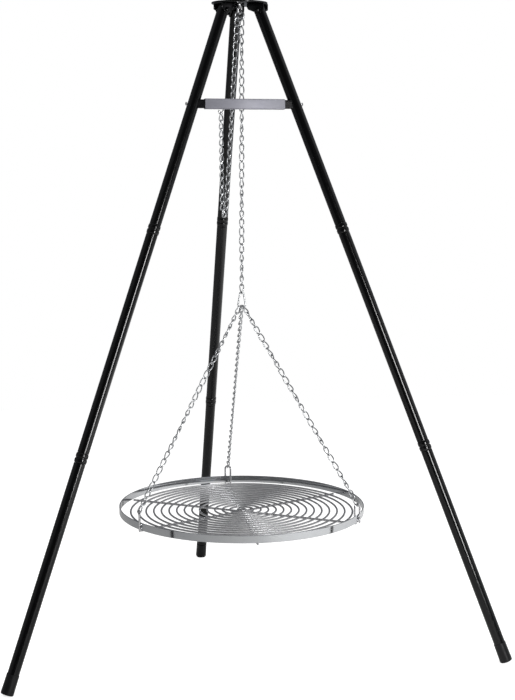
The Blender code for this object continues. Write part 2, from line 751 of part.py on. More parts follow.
def build_crossbar():
    """The black bar between the front legs, with the silver sleeve over it."""
    bar = box_mesh("crossbar", (2 * bar_half_span, BAR_SIDE, BAR_SIDE))
    core = new_object("crossbar", bar, middle, powder_coat)
    core.location = (0, bar_y, bar_height)
    for side, sign in (("left", -1), ("right", 1)):
        leg, upper = legs[side]
        saddle = new_object(
            f"saddle_cut_{side}",
            rod_mesh(f"saddle_cut_{side}", TUBE_RADIUS + GAP, 8 * TUBE_RADIUS, 2 * LEG_SIDES),
            leg,
            cutter=True,
        )
        saddle.location = (0, 0, -bar_share * leg_length)
        boolean(core, saddle)
        crossbar_screw(side, sign, core, upper)
    inner = BAR_SIDE + 2 * GAP
    cover = box_mesh("crossbar_sleeve", (2 * sleeve_half, SLEEVE_SIDE, SLEEVE_SIDE))
    sleeve = new_object("crossbar_sleeve", cover, middle, silver_paint)
    sleeve.location = core.location
    rounding = sleeve.modifiers.new("Round", "BEVEL")
    rounding.width = SLEEVE_CORNER / 2
    rounding.segments = 1
    hollow = box_mesh("sleeve_room", (4 * sleeve_half, inner, inner))
    room = new_object("sleeve_room", hollow, middle, cutter=True)
    room.location = core.location
    boolean(sleeve, room)


def crossbar_screw(side, sign, core, upper):
    """A screw through the leg's tube into the bar's end, along X."""
    lean = asin(sin(tilt) * cos(radians(30)))
    face = TUBE_RADIUS / cos(lean) + SCREW_HEAD_RADIUS * tan(lean) + GAP
    tip = face + SCREW_GRIP
    profile = [(0, face + SCREW_HEAD_HEIGHT), (SCREW_HEAD_RADIUS * 0.75, face + SCREW_HEAD_HEIGHT)]
    profile += [(SCREW_HEAD_RADIUS, face + SCREW_HEAD_HEIGHT / 2), (SCREW_HEAD_RADIUS, face)]
    profile += [(SCREW_RADIUS, face), (SCREW_RADIUS, -tip), (0, -tip)]
    place = new_empty(
        f"screw_{side}_frame", middle, (sign * bar_half_span, bar_y, bar_height), (0, sign * radians(90), 0)
    )
    turned(f"crossbar_screw_{side}", profile, 8, place, zinc)
    radius = SCREW_RADIUS + BOLT_CLEARANCE
    length = 2 * (tip + GAP)
    cross_hole(core, f"core_hole_{side}", radius, place, (0, 0, 0), length, (0, 0, 0))
    cross_hole(upper, f"tube_hole_{side}", radius, place, (0, 0, 0), length, (0, 0, 0))


def build_catch():
    """A slotted plate behind the sleeve: a link sits in the slot and the next one bears under it."""
    back = bar_y + SLEEVE_SIDE / 2 + GAP
    top = bar_height - CATCH_BELOW_BAR
    shelf_size = (CATCH_WIDTH, CATCH_DEPTH, CATCH_SHEET)
    shelf = box_mesh("chain_catch", shelf_size, (0, CATCH_DEPTH / 2, -CATCH_SHEET / 2))
    catch = new_object("chain_catch", shelf, middle, zinc)
    catch.location = (CATCH_X, back, top)
    flange_size = (CATCH_WIDTH, CATCH_SHEET, CATCH_FLANGE)
    flange = box_mesh("catch_flange", flange_size, (0, CATCH_SHEET / 2, CATCH_FLANGE / 2 - CATCH_SHEET))
    riser = new_object("catch_flange", flange, middle, cutter=True)
    riser.location = catch.location
    boolean(catch, riser, "UNION")
    slot_depth = CATCH_DEPTH - CATCH_Y + LINK_HALF_WIDTH + WIRE + 2 * GAP
    slot = box_mesh("catch_slot", (SLOT_WIDTH, 2 * slot_depth, 4 * CATCH_SHEET), (0, CATCH_DEPTH, 0))
    cut = new_object("catch_slot", slot, middle, cutter=True)
    cut.location = catch.location
    boolean(catch, cut)
    return Vector((CATCH_X, back + CATCH_Y, top - CATCH_SHEET / 2))


def build_end_hook():
    """The hook under the sleeve that holds the chain's loose end."""
    under = bar_height - SLEEVE_SIDE / 2 - GAP
    low = under - HOOK_DROP
    points = [(hook_x + HOOK_RADIUS, 0, under), (hook_x + HOOK_RADIUS, 0, low + HOOK_RADIUS)]
    points += [(x, 0, z) for x, z in arc((hook_x, low + HOOK_RADIUS), HOOK_RADIUS, -30, -180, 5)]
    points += [(hook_x - HOOK_RADIUS, 0, low + 1.7 * HOOK_RADIUS)]
    hook = bent_rod("chain_end_hook", points, HOOK_ROD, middle, zinc)
    hook.location = (0, bar_y, 0)
    return Vector((hook_x, bar_y, low))


build_top_plate()
build_cover()
legs = {side: build_leg(side) for side in LEG_ANGLES}
for side in LEG_ANGLES:
    bracket_frame = build_bracket(side)
    build_pivot_bolt(side, bracket_frame)
    build_rivet(side)
build_crossbar()
build_eye_bolt()
build_ring()
build_saddle_link()

# Both strands hang on the saddle link's ends
saddle_end = strand * saddle_half
main_start = z_axis * saddle_z + saddle_end
tail_start = z_axis * saddle_z - saddle_end
grate = new_empty("grate_middle", middle, (saddle_end.x, saddle_end.y, 0))

# Main chain, with its first and last link as pieces of their own
pear_top = saddle_end + z_axis * (pear_top_z - PEAR_WIRE)
end_wire = polar(1, END_LINK_TURN)
points, rolls = straight_links(main_start, WIRE, pear_top, PEAR_WIRE, (across, end_wire), MAIN_TURN)
ends = link_ends(points)
clear = z_axis * (LINK_BITE + GAP)
single_link("chain_top_link", ends[0][0], ends[0][1] - clear, rolls[0], middle)
chain("main_chain", points, rolls, middle, 1, -1)
single_link("chain_end_link", ends[-1][0] + clear, ends[-1][1], rolls[-1], middle)

# Pear link
pear = [(x, 0, pear_top_z + z) for x, z in pear_points()]
bent_rod("pear_link", pear, PEAR_WIRE, grate, zinc, closed=True)

# Grate, its hangers and the three sling chains
build_rim(grate)
build_grid(grate)
for side, sling_x in (("rear", 0), ("left", -SLING_SPREAD), ("right", SLING_SPREAD)):
    hanger_top, hanger_wire = build_hanger(side, grate)
    sling_start = Vector((sling_x, 0, pear_top_z - PEAR_HEIGHT + PEAR_WIRE))
    points, rolls = straight_links(
        sling_start, PEAR_WIRE, hanger_top, HANGER_ROD, (x_axis, hanger_wire), SLING_TURNS[side]
    )
    chain(f"sling_chain_{side}", points, rolls, grate)

# Chain tail: its last link stands in the catch's slot, edge on
slot_point = build_catch()
lean = (slot_point - tail_start).normalized()
lock_drop = CATCH_SHEET / 2 + GAP + 2 * WIRE
lock_point = slot_point + lean * lock_drop
slot_roll = 90 + LINK_TWIST / 2 * (PITCH / 2 - lock_drop) / (PITCH / 2 + WIRE)
lock_wire = polar(1, slot_roll - LINK_TWIST / 2 - 90)
tail_end = lock_point + lean * WIRE
points, rolls = straight_links(tail_start, WIRE, tail_end, WIRE, (across, lock_wire), 0)
chain("chain_tail", points, rolls, middle)

# Slack loop: from under the catch down to its low point and up to the end hook
hook_point = build_end_hook()
toward_hook = Vector((hook_point.x - lock_point.x, hook_point.y - lock_point.y, 0)).normalized()
low_point = lock_point + toward_hook * (hook_x + LOOP_FROM_HOOK - lock_point.x) / toward_hook.x
low_point.z = bar_height - LOOP_BELOW_BAR
rise = z_axis * sqrt(PITCH**2 - LOOP_HALF_GAP**2)
down_end = low_point - toward_hook * LOOP_HALF_GAP + rise
up_start = low_point + toward_hook * LOOP_HALF_GAP + rise


def even_steps(start, end):
    count = round((end - start).length / PITCH)
    return [start.lerp(end, n / count) for n in range(count + 1)]


down = even_steps(lock_point + z_axis * LINK_BITE / 2, down_end)
up = even_steps(up_start, hook_point + z_axis * seat(HOOK_ROD))
down_rolls = [slot_roll + (LOOP_ROLL - slot_roll) * n / (len(down) - 1) for n in range(len(down))]
chain("slack_loop", down + [low_point] + up, down_rolls + [LOOP_ROLL] * len(up), middle)
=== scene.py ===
"""Looks for the tripod grill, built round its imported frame.

Metres, +Z up, the frame's own axes: the rear leg points along +Y and the crossbar lies along X.
Each piece replaces the frame's plainer one, stands in the same place and rides on the same body.
"""

import json

from math import atan2, cos, degrees, hypot, pi, radians, sin, sqrt

import bmesh
import bpy
import numpy as np
from mathutils import Matrix, Vector


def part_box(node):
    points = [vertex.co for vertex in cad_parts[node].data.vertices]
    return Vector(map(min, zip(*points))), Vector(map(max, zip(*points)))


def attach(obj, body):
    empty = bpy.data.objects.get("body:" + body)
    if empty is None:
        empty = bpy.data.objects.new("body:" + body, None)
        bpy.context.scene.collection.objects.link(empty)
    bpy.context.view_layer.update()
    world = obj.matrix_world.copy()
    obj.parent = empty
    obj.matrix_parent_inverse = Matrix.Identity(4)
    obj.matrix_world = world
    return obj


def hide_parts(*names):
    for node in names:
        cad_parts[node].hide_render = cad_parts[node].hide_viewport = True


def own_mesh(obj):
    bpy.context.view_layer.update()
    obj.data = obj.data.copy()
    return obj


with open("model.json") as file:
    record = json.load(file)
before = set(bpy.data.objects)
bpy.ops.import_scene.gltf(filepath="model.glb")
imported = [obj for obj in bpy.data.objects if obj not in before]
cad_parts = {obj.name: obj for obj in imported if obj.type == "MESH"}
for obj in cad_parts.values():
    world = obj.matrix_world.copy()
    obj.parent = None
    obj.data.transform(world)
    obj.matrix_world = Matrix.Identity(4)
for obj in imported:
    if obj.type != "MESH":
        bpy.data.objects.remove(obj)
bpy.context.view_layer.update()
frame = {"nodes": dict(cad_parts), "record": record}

# Sizes that the frame's source names, in metres and degrees
GAP = 0.0003
PIVOT_RADIUS = 0.050
PIVOT_HEIGHT = 1.5115
FOOT_RADIUS = 0.667
SECTIONS = 3
TUBE_RADIUS = 0.0133
TUBE_WALL = 0.0015
LEG_ANGLES = {"rear": 90, "left": 210, "right": 330}
COLLAR_RADIUS = 0.0144
COLLAR_LENGTH = 0.024
COLLAR_GROOVE = 0.0015
COLLAR_RIDGE_SPACING = 0.0094
FOOT_WALL = 0.0010
FOOT_FLARE = 0.0004
FOOT_CAP_LENGTH = 0.045
FOOT_SOLE = 0.009
FOOT_BEND = 0.0025
FOOT_FLAT_DEPTH = 0.0015
PLATE_BOTTOM = 1.5275
PLATE_THICKNESS = 0.004
BRACKET_SHEET = 0.002
BRACKET_SIDE_CLEARANCE = 0.0008
BRACKET_OUT = 0.0155
BRACKET_IN = 0.026
CHEEK_RADIUS = 0.0095
RIVET_RADIUS = 0.0028
RIVET_HEAD_RADIUS = 0.0048
RIVET_HEAD_HEIGHT = 0.002
RIVET_INSET = 0.0215
COVER_WALL = 0.0013
BOLT_RADIUS = 0.003
BOLT_HEAD_RADIUS = 0.0048
BOLT_HEAD_HEIGHT = 0.003
BOLT_TAIL = 0.0012
NUT_RADIUS = 0.0054
NUT_HEIGHT = 0.005
BAR_SIDE = 0.020
SLEEVE_SIDE = 0.024
SLEEVE_CORNER = 0.0028
SCREW_RADIUS = 0.0025
SCREW_HEAD_RADIUS = 0.0046
SCREW_HEAD_HEIGHT = 0.0028
EYE_ROD = 0.003
EYE_RADIUS = 0.0085
EYE_DROP = 0.001
EYE_TURN = 318
EYE_NUT_RADIUS = 0.0062
EYE_NUT_HEIGHT = 0.005
RING_WIRE = 0.00225
RING_RADIUS = 0.0115
STRAND_ANGLE = 52
WIRE = 0.0015
PITCH = 0.0195
LINK_HALF_WIDTH = 0.00515
LINK_TWIST = 90
LINK_FULLNESS = 2.6
MAIN_TURN = 19
END_LINK_TURN = -6
PEAR_TOP = 0.8495
PEAR_HEIGHT = 0.040
PEAR_HALF_WIDTH = 0.0110
PEAR_WIRE = 0.0018
PEAR_TOP_RADIUS = 0.0048
PEAR_CORNER = 0.0041
SLING_SPREAD = 0.0051
GRATE_RADIUS = 0.3015
GRATE_TURN = -2.9
RIM_THICKNESS = 0.0025
RING_COUNT = 15
OUTER_RING = 0.2735
INNER_RING = 0.0102
GRID_WIRE = 0.0024
SPOKE_WIRE = 0.0027
WELD = 0.0006
HANGER_ROD = 0.0025
HANGER_SPREAD = 0.0065
HANGER_RISE = 0.029
HANGER_DROP = 0.0035
CATCH_Y = 0.012
CATCH_BELOW_BAR = 0.001
CATCH_SHEET = 0.002
HOOK_X = -0.0555
HOOK_ROD = 0.0019
HOOK_DROP = 0.010
HOOK_RADIUS = 0.005
LOOP_BOTTOM = 1.0317
LOOP_X = -0.0475
LOOP_HALF_GAP = 0.0071
LOOP_ROLL = 135
# Each sling's place on the pear link's foot, and its turn per link in degrees
SLINGS = {"rear": (0, 4), "left": (-SLING_SPREAD, 15), "right": (SLING_SPREAD, 33)}

# Finer sizes that only this script has, in metres
TUBE_OVERRUN = 0.0090
TUBE_EDGE = 0.0004
SPIGOT_REACH = 0.027
SPIGOT_SLACK = 0.0005
SPIGOT_EDGE = 0.001
COLLAR_EDGE = 0.0005
COLLAR_CENTRE = 0.0005
PLATE_EDGE = 0.0014
PLATE_BORE_SLACK = 0.0006
COVER_EDGE = 0.0004
BRACKET_BEND = 0.0022
BRACKET_EDGE = 0.00035
CUT_MARGIN = 0.01
THREADS = 14
THREAD_PITCH = 0.0005
BOLT_CENTRE = 0.0003
BOLT_SOCKET = 0.0019
NUT_SLACK = 0.0003
NUT_EDGE = 0.0004
BAR_OVERRUN = 0.004
BAR_CORNER = 0.0016
LEG_CUT_LENGTH = 0.5
SLEEVE_BORE_CORNER = 0.0012
SLEEVE_EDGE = 0.0005
CATCH_EDGE = 0.0004
RIM_EDGE = 0.0007
SEAT_SLACK = 0.0003
PEAR_STEP = 0.003
LINK_POINTS = 28
LINK_SIDES = 8
LINK_SEAM = 0.14
LINK_SEAM_LENGTH = 0.0016
HANGER_BEAD = [(0.0002, -0.0028), (0.0012, -0.0024), (0.0019, -0.001)]
HANGER_BEAD += [(0.0020, 0.0008), (0.0013, 0.0023), (0.0002, 0.0028)]
GRID_BEAD = [(0.0002, -0.0016), (0.0016, -0.0012), (0.0024, 0.0)]
GRID_BEAD += [(0.0024, 0.0007), (0.0013, 0.0016), (0.0002, 0.002)]

# Floor: metres, and how brightly it glows where it is seen and where it is mirrored
FLOOR_DROP = 0.0003
FLOOR_REACH = 3.0
FLOOR_SEEN = 0.74
FLOOR_MIRRORED = 0.65

# The photo's camera: degrees, metres and pixels
VIEW_TURN = -9.88
CAMERA_PLACE = (0, -3.40, 1.183)
CAMERA_PITCH = 7.965
CAMERA_YAW = 0.736
CAMERA_ROLL = 0.09
FOCAL_PIXELS = 1413.2
PHOTO_HEIGHT = 700
SENSOR = 36

# Places worked out from the frame
plate_low, plate_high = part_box("top_plate")
plate_radius = (plate_high.x - plate_low.x) / 2
axis = Vector((0, (plate_low.y + plate_high.y) / 2, 0))
plate_top = PLATE_BOTTOM + PLATE_THICKNESS
rim_low, rim_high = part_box("grate_rim")
rim_bottom, rim_top = rim_low.z, rim_high.z
bar_low, bar_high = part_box("crossbar")
bar_centre = (bar_low + bar_high) / 2
sleeve_low, sleeve_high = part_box("crossbar_sleeve")
catch_low, catch_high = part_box("chain_catch")
cover_low, cover_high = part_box("top_cover")
tilt = atan2(FOOT_RADIUS - PIVOT_RADIUS, PIVOT_HEIGHT)
leg_length = hypot(FOOT_RADIUS - PIVOT_RADIUS, PIVOT_HEIGHT)
section = leg_length / SECTIONS
foot_outer = TUBE_RADIUS + FOOT_WALL + FOOT_FLARE
foot_end = (PIVOT_HEIGHT + FOOT_FLAT_DEPTH - (foot_outer - FOOT_BEND) * sin(tilt)) / cos(tilt)
ring_spacing = (OUTER_RING - INNER_RING) / (RING_COUNT - 1)
web_top = PLATE_BOTTOM - GAP - PIVOT_HEIGHT
web_bottom = web_top - BRACKET_SHEET
bracket_half = TUBE_RADIUS + BRACKET_SIDE_CLEARANCE + BRACKET_SHEET
hook_low = sleeve_low.z - GAP - HOOK_DROP
eye_centre_z = PLATE_BOTTOM - EYE_DROP - EYE_ROD - EYE_RADIUS
ring_centre_z = eye_centre_z - EYE_RADIUS + EYE_ROD + GAP + RING_WIRE - RING_RADIUS
saddle_z = ring_centre_z - sqrt(RING_RADIUS**2 - LINK_HALF_WIDTH**2) + RING_WIRE + 2 * GAP + WIRE
saddle_half = PITCH / 2 + WIRE
strand = Vector((cos(radians(STRAND_ANGLE)), sin(radians(STRAND_ANGLE)), 0))
across = Vector((-strand.y, strand.x, 0))
x_axis, y_axis, z_axis = Vector((1, 0, 0)), Vector((0, 1, 0)), Vector((0, 0, 1))
saddle_end = strand * saddle_half
main_start = z_axis * saddle_z + saddle_end
tail_start = z_axis * saddle_z - saddle_end
grate_centre = axis + Vector((saddle_end.x, saddle_end.y, 0))
bodies = frame["record"]["behaviour"]["bodies"]
body_of = {node: body for body, nodes in bodies.items() for node in nodes}


# Materials


def map_range(tree, source, start, end, low=0.0, high=1.0, kind="LINEAR"):
    """Goes from low to high while the source goes from start to end."""
    node = tree.nodes.new("ShaderNodeMapRange")
    node.interpolation_type = kind
    ends = {"From Min": start, "From Max": end, "To Min": low, "To Max": high}
    for name, value in ends.items():
        node.inputs[name].default_value = value
    tree.links.new(source, node.inputs["Value"])
    return node.outputs["Result"]


class Nodes:
    """A material's node tree, with short calls for the nodes used here."""

    def __init__(self, name, metallic, roughness, colour):
        self.material = bpy.data.materials.new(name)
        self.material.use_nodes = True
        self.tree = self.material.node_tree
        self.shader = self.tree.nodes["Principled BSDF"]
        self.shader.inputs["Base Color"].default_value = (*colour, 1)
        self.shader.inputs["Metallic"].default_value = metallic
        self.shader.inputs["Roughness"].default_value = roughness
        self.coordinates = self.tree.nodes.new("ShaderNodeTexCoord").outputs["Object"]

    def link(self, source, target):
        self.tree.links.new(source, target)

    def noise(self, scale, detail=3.0, stretch=(1, 1, 1)):
        """Noise of so many features a metre, stretched along the axes."""
        mapping = self.tree.nodes.new("ShaderNodeMapping")
        mapping.inputs["Scale"].default_value = stretch
        self.link(self.coordinates, mapping.inputs["Vector"])
        node = self.tree.nodes.new("ShaderNodeTexNoise")
        node.inputs["Scale"].default_value = scale
        node.inputs["Detail"].default_value = detail
        self.link(mapping.outputs["Vector"], node.inputs["Vector"])
        return node.outputs["Fac"]

    def ramp(self, source, *stops):
        node = self.tree.nodes.new("ShaderNodeValToRGB")
        elements = node.color_ramp.elements
        while len(elements) < len(stops):
            elements.new(0.5)
        for element, (place, colour) in zip(elements, stops):
            element.position = place
            element.color = (*colour, 1)
        self.link(source, node.inputs["Fac"])
        return node.outputs["Color"]

    def between(self, source, low, high):
        return map_range(self.tree, source, 0.3, 0.7, low, high)

    def bump(self, source, height, before=None):
        """A bump of that height in metres."""
        node = self.tree.nodes.new("ShaderNodeBump")
        node.inputs["Strength"].default_value = 1.0
        node.inputs["Distance"].default_value = height
        self.link(source, node.inputs["Height"])
        if before:
            self.link(before, node.inputs["Normal"])
        return node.outputs["Normal"]

    def set(self, name, source):
        self.link(source, self.shader.inputs[name])


def powder_coat(name, colour, worn, roughness, gloss):
    """Gloss stoved paint: a fine orange peel, with faint handling marks in its gloss."""
    n = Nodes(name, 0.0, roughness, colour)
    n.shader.inputs["Specular IOR Level"].default_value = gloss
    n.set("Base Color", n.ramp(n.noise(38, 4), (0.35, colour), (0.62, colour), (0.72, worn)))
    n.set("Roughness", n.between(n.noise(70, 5), roughness - 0.02, roughness + 0.04))
    peel = n.bump(n.noise(620, 2), 0.000008)
    n.set("Normal", n.bump(n.noise(2600, 1), 0.000002, peel))
    return n.material


def moulded_plastic(name, colour):
    """Satin moulded plastic with a fine spark grain."""
    n = Nodes(name, 0.0, 0.34, colour)
    n.shader.inputs["Specular IOR Level"].default_value = 0.3
    pale = tuple(c * 2.2 for c in colour)
    n.set("Base Color", n.ramp(n.noise(120, 5), (0.4, colour), (0.75, pale)))
    n.set("Roughness", n.between(n.noise(500, 2), 0.28, 0.40))
    n.set("Normal", n.bump(n.noise(1900, 2), 0.00002))
    return n.material


def metal(
    name, colour, dull, roughness, spread, brush=(1, 1, 1), scale=900, depth=0.000006, spots=60
):
    """Bare or plated metal: fine brushing, and duller patches where it has been handled."""
    n = Nodes(name, 1.0, roughness, colour)
    n.set("Base Color", n.ramp(n.noise(spots, 5), (0.38, colour), (0.7, dull)))
    fine = n.noise(scale, 3, brush)
    n.set("Roughness", n.between(fine, roughness - spread, roughness + spread))
    n.set("Normal", n.bump(fine, depth))
    return n.material


def silver_paint(name, colour, dull, brush):
    """Satin silver over brushed metal: part of its light is scattered and part is mirrored."""
    n = Nodes(name, 0.30, 0.45, colour)
    n.shader.inputs["Specular IOR Level"].default_value = 0.3
    n.set("Base Color", n.ramp(n.noise(30, 5), (0.38, colour), (0.7, dull)))
    fine = n.noise(1400, 3, brush)
    n.set("Roughness", n.between(fine, 0.46, 0.58))
    n.set("Normal", n.bump(fine, 0.00002))
    return n.material


leg_paint = powder_coat(
    "black powder coat", (0.0008, 0.0008, 0.0010), (0.0016, 0.0016, 0.0019), 0.15, 0.36
)
looks = {
    "leg_coat": leg_paint,
    "collar_coat": leg_paint,
    "plate_coat": leg_paint,
    "bar_coat": powder_coat(
        "black bar coat", (0.0012, 0.0012, 0.0018), (0.0022, 0.0022, 0.0030), 0.22, 0.12
    ),
    "foot_plastic": moulded_plastic("black foot plastic", (0.0018, 0.0018, 0.0021)),
    "cover_silver": silver_paint(
        "silver cover", (0.46, 0.46, 0.49), (0.42, 0.42, 0.45), (1, 1, 1)
    ),
    "sleeve_silver": silver_paint(
        "silver sleeve", (0.262, 0.262, 0.296), (0.234, 0.234, 0.268), (0.03, 1, 1)
    ),
    "chain_zinc": metal(
        "bright zinc", (0.59, 0.60, 0.61), (0.47, 0.48, 0.49), 0.35, 0.06, spots=220
    ),
    "fastener_zinc": metal(
        "fastener zinc", (0.60, 0.60, 0.61), (0.46, 0.46, 0.46), 0.28, 0.06, spots=300
    ),
    "rod_steel": metal("hanger steel", (0.60, 0.60, 0.61), (0.45, 0.45, 0.46), 0.22, 0.06),
    "rim_steel": metal(
        "rolled rim steel", (0.49, 0.50, 0.51), (0.43, 0.44, 0.46), 0.10, 0.03,
        brush=(0.04, 0.04, 1), scale=1500, depth=0.000002, spots=9,
    ),
    "grid_steel": metal(
        "drawn grid steel", (0.54, 0.54, 0.55), (0.46, 0.46, 0.47), 0.44, 0.03,
        depth=0.000002, spots=90,
    ),
}


# Mesh building


class Shape:
    """Vertices and faces gathered from several closed pieces into one mesh."""

    def __init__(self):
        self.verts = []
        self.faces = []
        self.count = 0

    def add(self, verts, faces, matrix=None):
        verts = np.asarray(verts, float)
        if matrix is not None:
            turn = np.array(matrix)
            verts = verts @ turn[:3, :3].T + turn[:3, 3]
        self.verts.append(verts)
        self.faces += [tuple(int(i) + self.count for i in face) for face in faces]
        self.count += len(verts)
        return self

    def mesh(self, name):
        mesh = bpy.data.meshes.new(name)
        mesh.from_pydata(np.concatenate(self.verts).tolist(), [], self.faces)
        mesh.update()
        return mesh


def in_scene(name, data):
    obj = bpy.data.objects.new(name, data)
    bpy.context.scene.collection.objects.link(obj)
    return obj


def dress(node, mesh, slot, sharp=35, name=None):
    """Puts a mesh in the scene in place of a node, on the node's body."""
    obj = in_scene(name or f"look_{node}", mesh)
    mesh.materials.clear()
    mesh.materials.append(looks[slot])
    mesh.shade_smooth()
    mesh.set_sharp_from_angle(angle=radians(sharp))
    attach(obj, body_of[node])
    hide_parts(node)
    return obj


def dress_solid(node, solid, matrix, slot, sharp=35, name=None):
    """The same from vertices and faces. They stand in place already if the matrix is None."""
    dress(node, Shape().add(*solid, matrix).mesh(node), slot, sharp, name)


def grid_faces(rows, columns, wrap_rows=True):
    """Faces between rows of points. Each row joins up round its end."""
    faces = []
    for r in range(rows if wrap_rows else rows - 1):
        for c in range(columns):
            r2, c2 = (r + 1) % rows, (c + 1) % columns
            faces.append((r * columns + c, r * columns + c2, r2 * columns + c2, r2 * columns + c))
    return faces


def tube_faces(rows, sides, closed):
    """Faces along a tube, with a cap at each end unless it joins up."""
    faces = grid_faces(rows, sides, closed)
    if not closed:
        faces.append(tuple(range(sides))[::-1])
        faces.append(tuple(range((rows - 1) * sides, rows * sides)))
    return faces


def lathe(profile, sides, closed=False):
    """A turned piece about Z. The profile's (radius, height) points run up its outer side."""
    profile = np.asarray(profile, float)
    angles = np.arange(sides) * 2 * pi / sides
    rows = len(profile)
    ring = np.stack([np.cos(angles), np.sin(angles)], 1)
    verts = np.zeros((rows, sides, 3))
    verts[:, :, :2] = profile[:, None, :1] * ring[None]
    verts[:, :, 2] = profile[:, 1:2]
    return verts.reshape(-1, 3), tube_faces(rows, sides, closed)


def sweep(points, radius, sides, closed=False):
    """A round rod along the points, with domed ends where it is open."""
    centres = np.asarray([tuple(p) for p in points], float)
    count = len(centres)
    if closed:
        ways = np.roll(centres, -1, 0) - np.roll(centres, 1, 0)
    else:
        ways = np.gradient(centres, axis=0)
    ways /= np.linalg.norm(ways, axis=1)[:, None]
    normal = np.cross(ways[0], (0.0, 0.0, 1.0) if abs(ways[0][2]) < 0.8 else (1.0, 0.0, 0.0))
    normals = []
    for way in ways:
        normal = normal - way * normal.dot(way)
        normal = normal / np.linalg.norm(normal)
        normals.append(normal)
    normals = np.array(normals)
    radii = np.full(count, float(radius))
    if closed:
        drift = normal - ways[0] * normal.dot(ways[0])
        drift /= np.linalg.norm(drift)
        slip = atan2(np.cross(normals[0], drift).dot(ways[0]), normals[0].dot(drift))
        rolls = -slip * np.arange(count) / count
    else:
        turns = (0.35, 0.8, 1.2)
        head = [centres[0] + ways[0] * radius * (1 - cos(a)) for a in turns]
        tail = [centres[-1] - ways[-1] * radius * (1 - cos(a)) for a in turns[::-1]]
        small = [radius * sin(a) for a in turns]
        centres[0] += ways[0] * radius
        centres[-1] -= ways[-1] * radius
        centres = np.concatenate([head, centres, tail])
        radii = np.concatenate([small, radii, small[::-1]])
        ways = np.concatenate([[ways[0]] * 3, ways, [ways[-1]] * 3])
        normals = np.concatenate([[normals[0]] * 3, normals, [normals[-1]] * 3])
        rolls = np.zeros(len(centres))
    sideways = np.cross(ways, normals)
    turn = (np.arange(sides) * 2 * pi / sides)[None, :] + rolls[:, None]
    around = np.cos(turn)[:, :, None] * normals[:, None]
    around += np.sin(turn)[:, :, None] * sideways[:, None]
    verts = centres[:, None] + radii[:, None, None] * around
    return verts.reshape(-1, 3), tube_faces(len(centres), sides, closed)


def torus(radius, wire, height, segments, sides):
    angles = np.arange(segments) * 2 * pi / segments
    x, y = radius * np.cos(angles), radius * np.sin(angles)
    return sweep(np.stack([x, y, np.full(segments, height)], 1), wire, sides, closed=True)


def band(inner, outer, low, high, edge):
    """The closed profile of a tube with its edges broken."""
    points = [(inner + edge, low), (outer - edge, low), (outer, low + edge)]
    points += [(outer, high - edge), (outer - edge, high), (inner + edge, high)]
    return points + [(inner, high - edge), (inner, low + edge)]


def arc(centre, radius, start, end, steps):
    angles = [radians(start + (end - start) * n / steps) for n in range(steps + 1)]
    return [(centre[0] + radius * cos(a), centre[1] + radius * sin(a)) for a in angles]


def polar(radius, angle, height=0.0):
    return Vector((radius * cos(radians(angle)), radius * sin(radians(angle)), height))


def prism(outline, low, high):
    """A closed outline in XY drawn out along Z."""
    count = len(outline)
    verts = [(x, y, low) for x, y in outline] + [(x, y, high) for x, y in outline]
    faces = [tuple(range(count))[::-1], tuple(range(count, 2 * count))]
    faces += [(n, (n + 1) % count, count + (n + 1) % count, count + n) for n in range(count)]
    return verts, faces


def carved(name, solid, cutters, operation="DIFFERENCE", bevel=0.0):
    """The mesh left when the cutters act on the solid, with its edges then rounded."""
    helpers = [in_scene(name, Shape().add(*part).mesh(name)) for part in (solid, *cutters)]
    body = helpers[0]
    for cutter in helpers[1:]:
        modifier = body.modifiers.new("Cut", "BOOLEAN")
        modifier.operation = operation
        modifier.solver = "EXACT"
        modifier.object = cutter
    if bevel:
        rounding = body.modifiers.new("Round", "BEVEL")
        rounding.width = bevel
        rounding.segments = 2
        rounding.limit_method = "ANGLE"
        rounding.angle_limit = radians(40)
    bpy.context.view_layer.update()
    graph = bpy.context.evaluated_depsgraph_get()
    mesh = bpy.data.meshes.new_from_object(body.evaluated_get(graph))
    mesh.name = name
    for obj in helpers:
        bpy.data.objects.remove(obj, do_unlink=True)
    return mesh


def placed(location, rotation=(0, 0, 0)):
    """A matrix from a place and angles about X, Y and Z in degrees, in that order."""
    turn = Matrix.Identity(3)
    for angle, name in zip(rotation, "XYZ"):
        turn = Matrix.Rotation(radians(angle), 3, name) @ turn
    return Matrix.Translation(location) @ turn.to_4x4()


def bracket_matrix(side, lean=0.0):
    """The pivot's own axes: X outward and Y along the bolt, leaned about it by an angle."""
    angle = LEG_ANGLES[side]
    return placed(axis + polar(PIVOT_RADIUS, angle, PIVOT_HEIGHT), (0, lean, angle))


def leg_matrix(side):
    """The same with Z along the leg. It runs down from 0."""
    return bracket_matrix(side, -degrees(tilt))


def hex_nut(radius, height, bore):
    """A chamfered hexagonal nut about Z, from 0 up to its height."""
    sides = 72
    flat = radius * cos(pi / 6)
    verts = []
    for n in range(sides):
        a = 2 * pi * n / sides
        reach = flat / cos((a + pi / 6) % (pi / 3) - pi / 6)
        drop = (reach - flat) * 0.5 + 0.0001
        ring = [(bore, height - NUT_EDGE), (bore + NUT_EDGE, height), (flat * 0.97, height)]
        ring += [(reach, height - drop), (reach, drop), (flat * 0.97, 0)]
        ring += [(bore + NUT_EDGE, 0), (bore, NUT_EDGE)]
        verts += [(r * cos(a), r * sin(a), z) for r, z in ring]
    return verts, [face[::-1] for face in grid_faces(sides, 8)]


# Legs, collars and foot caps


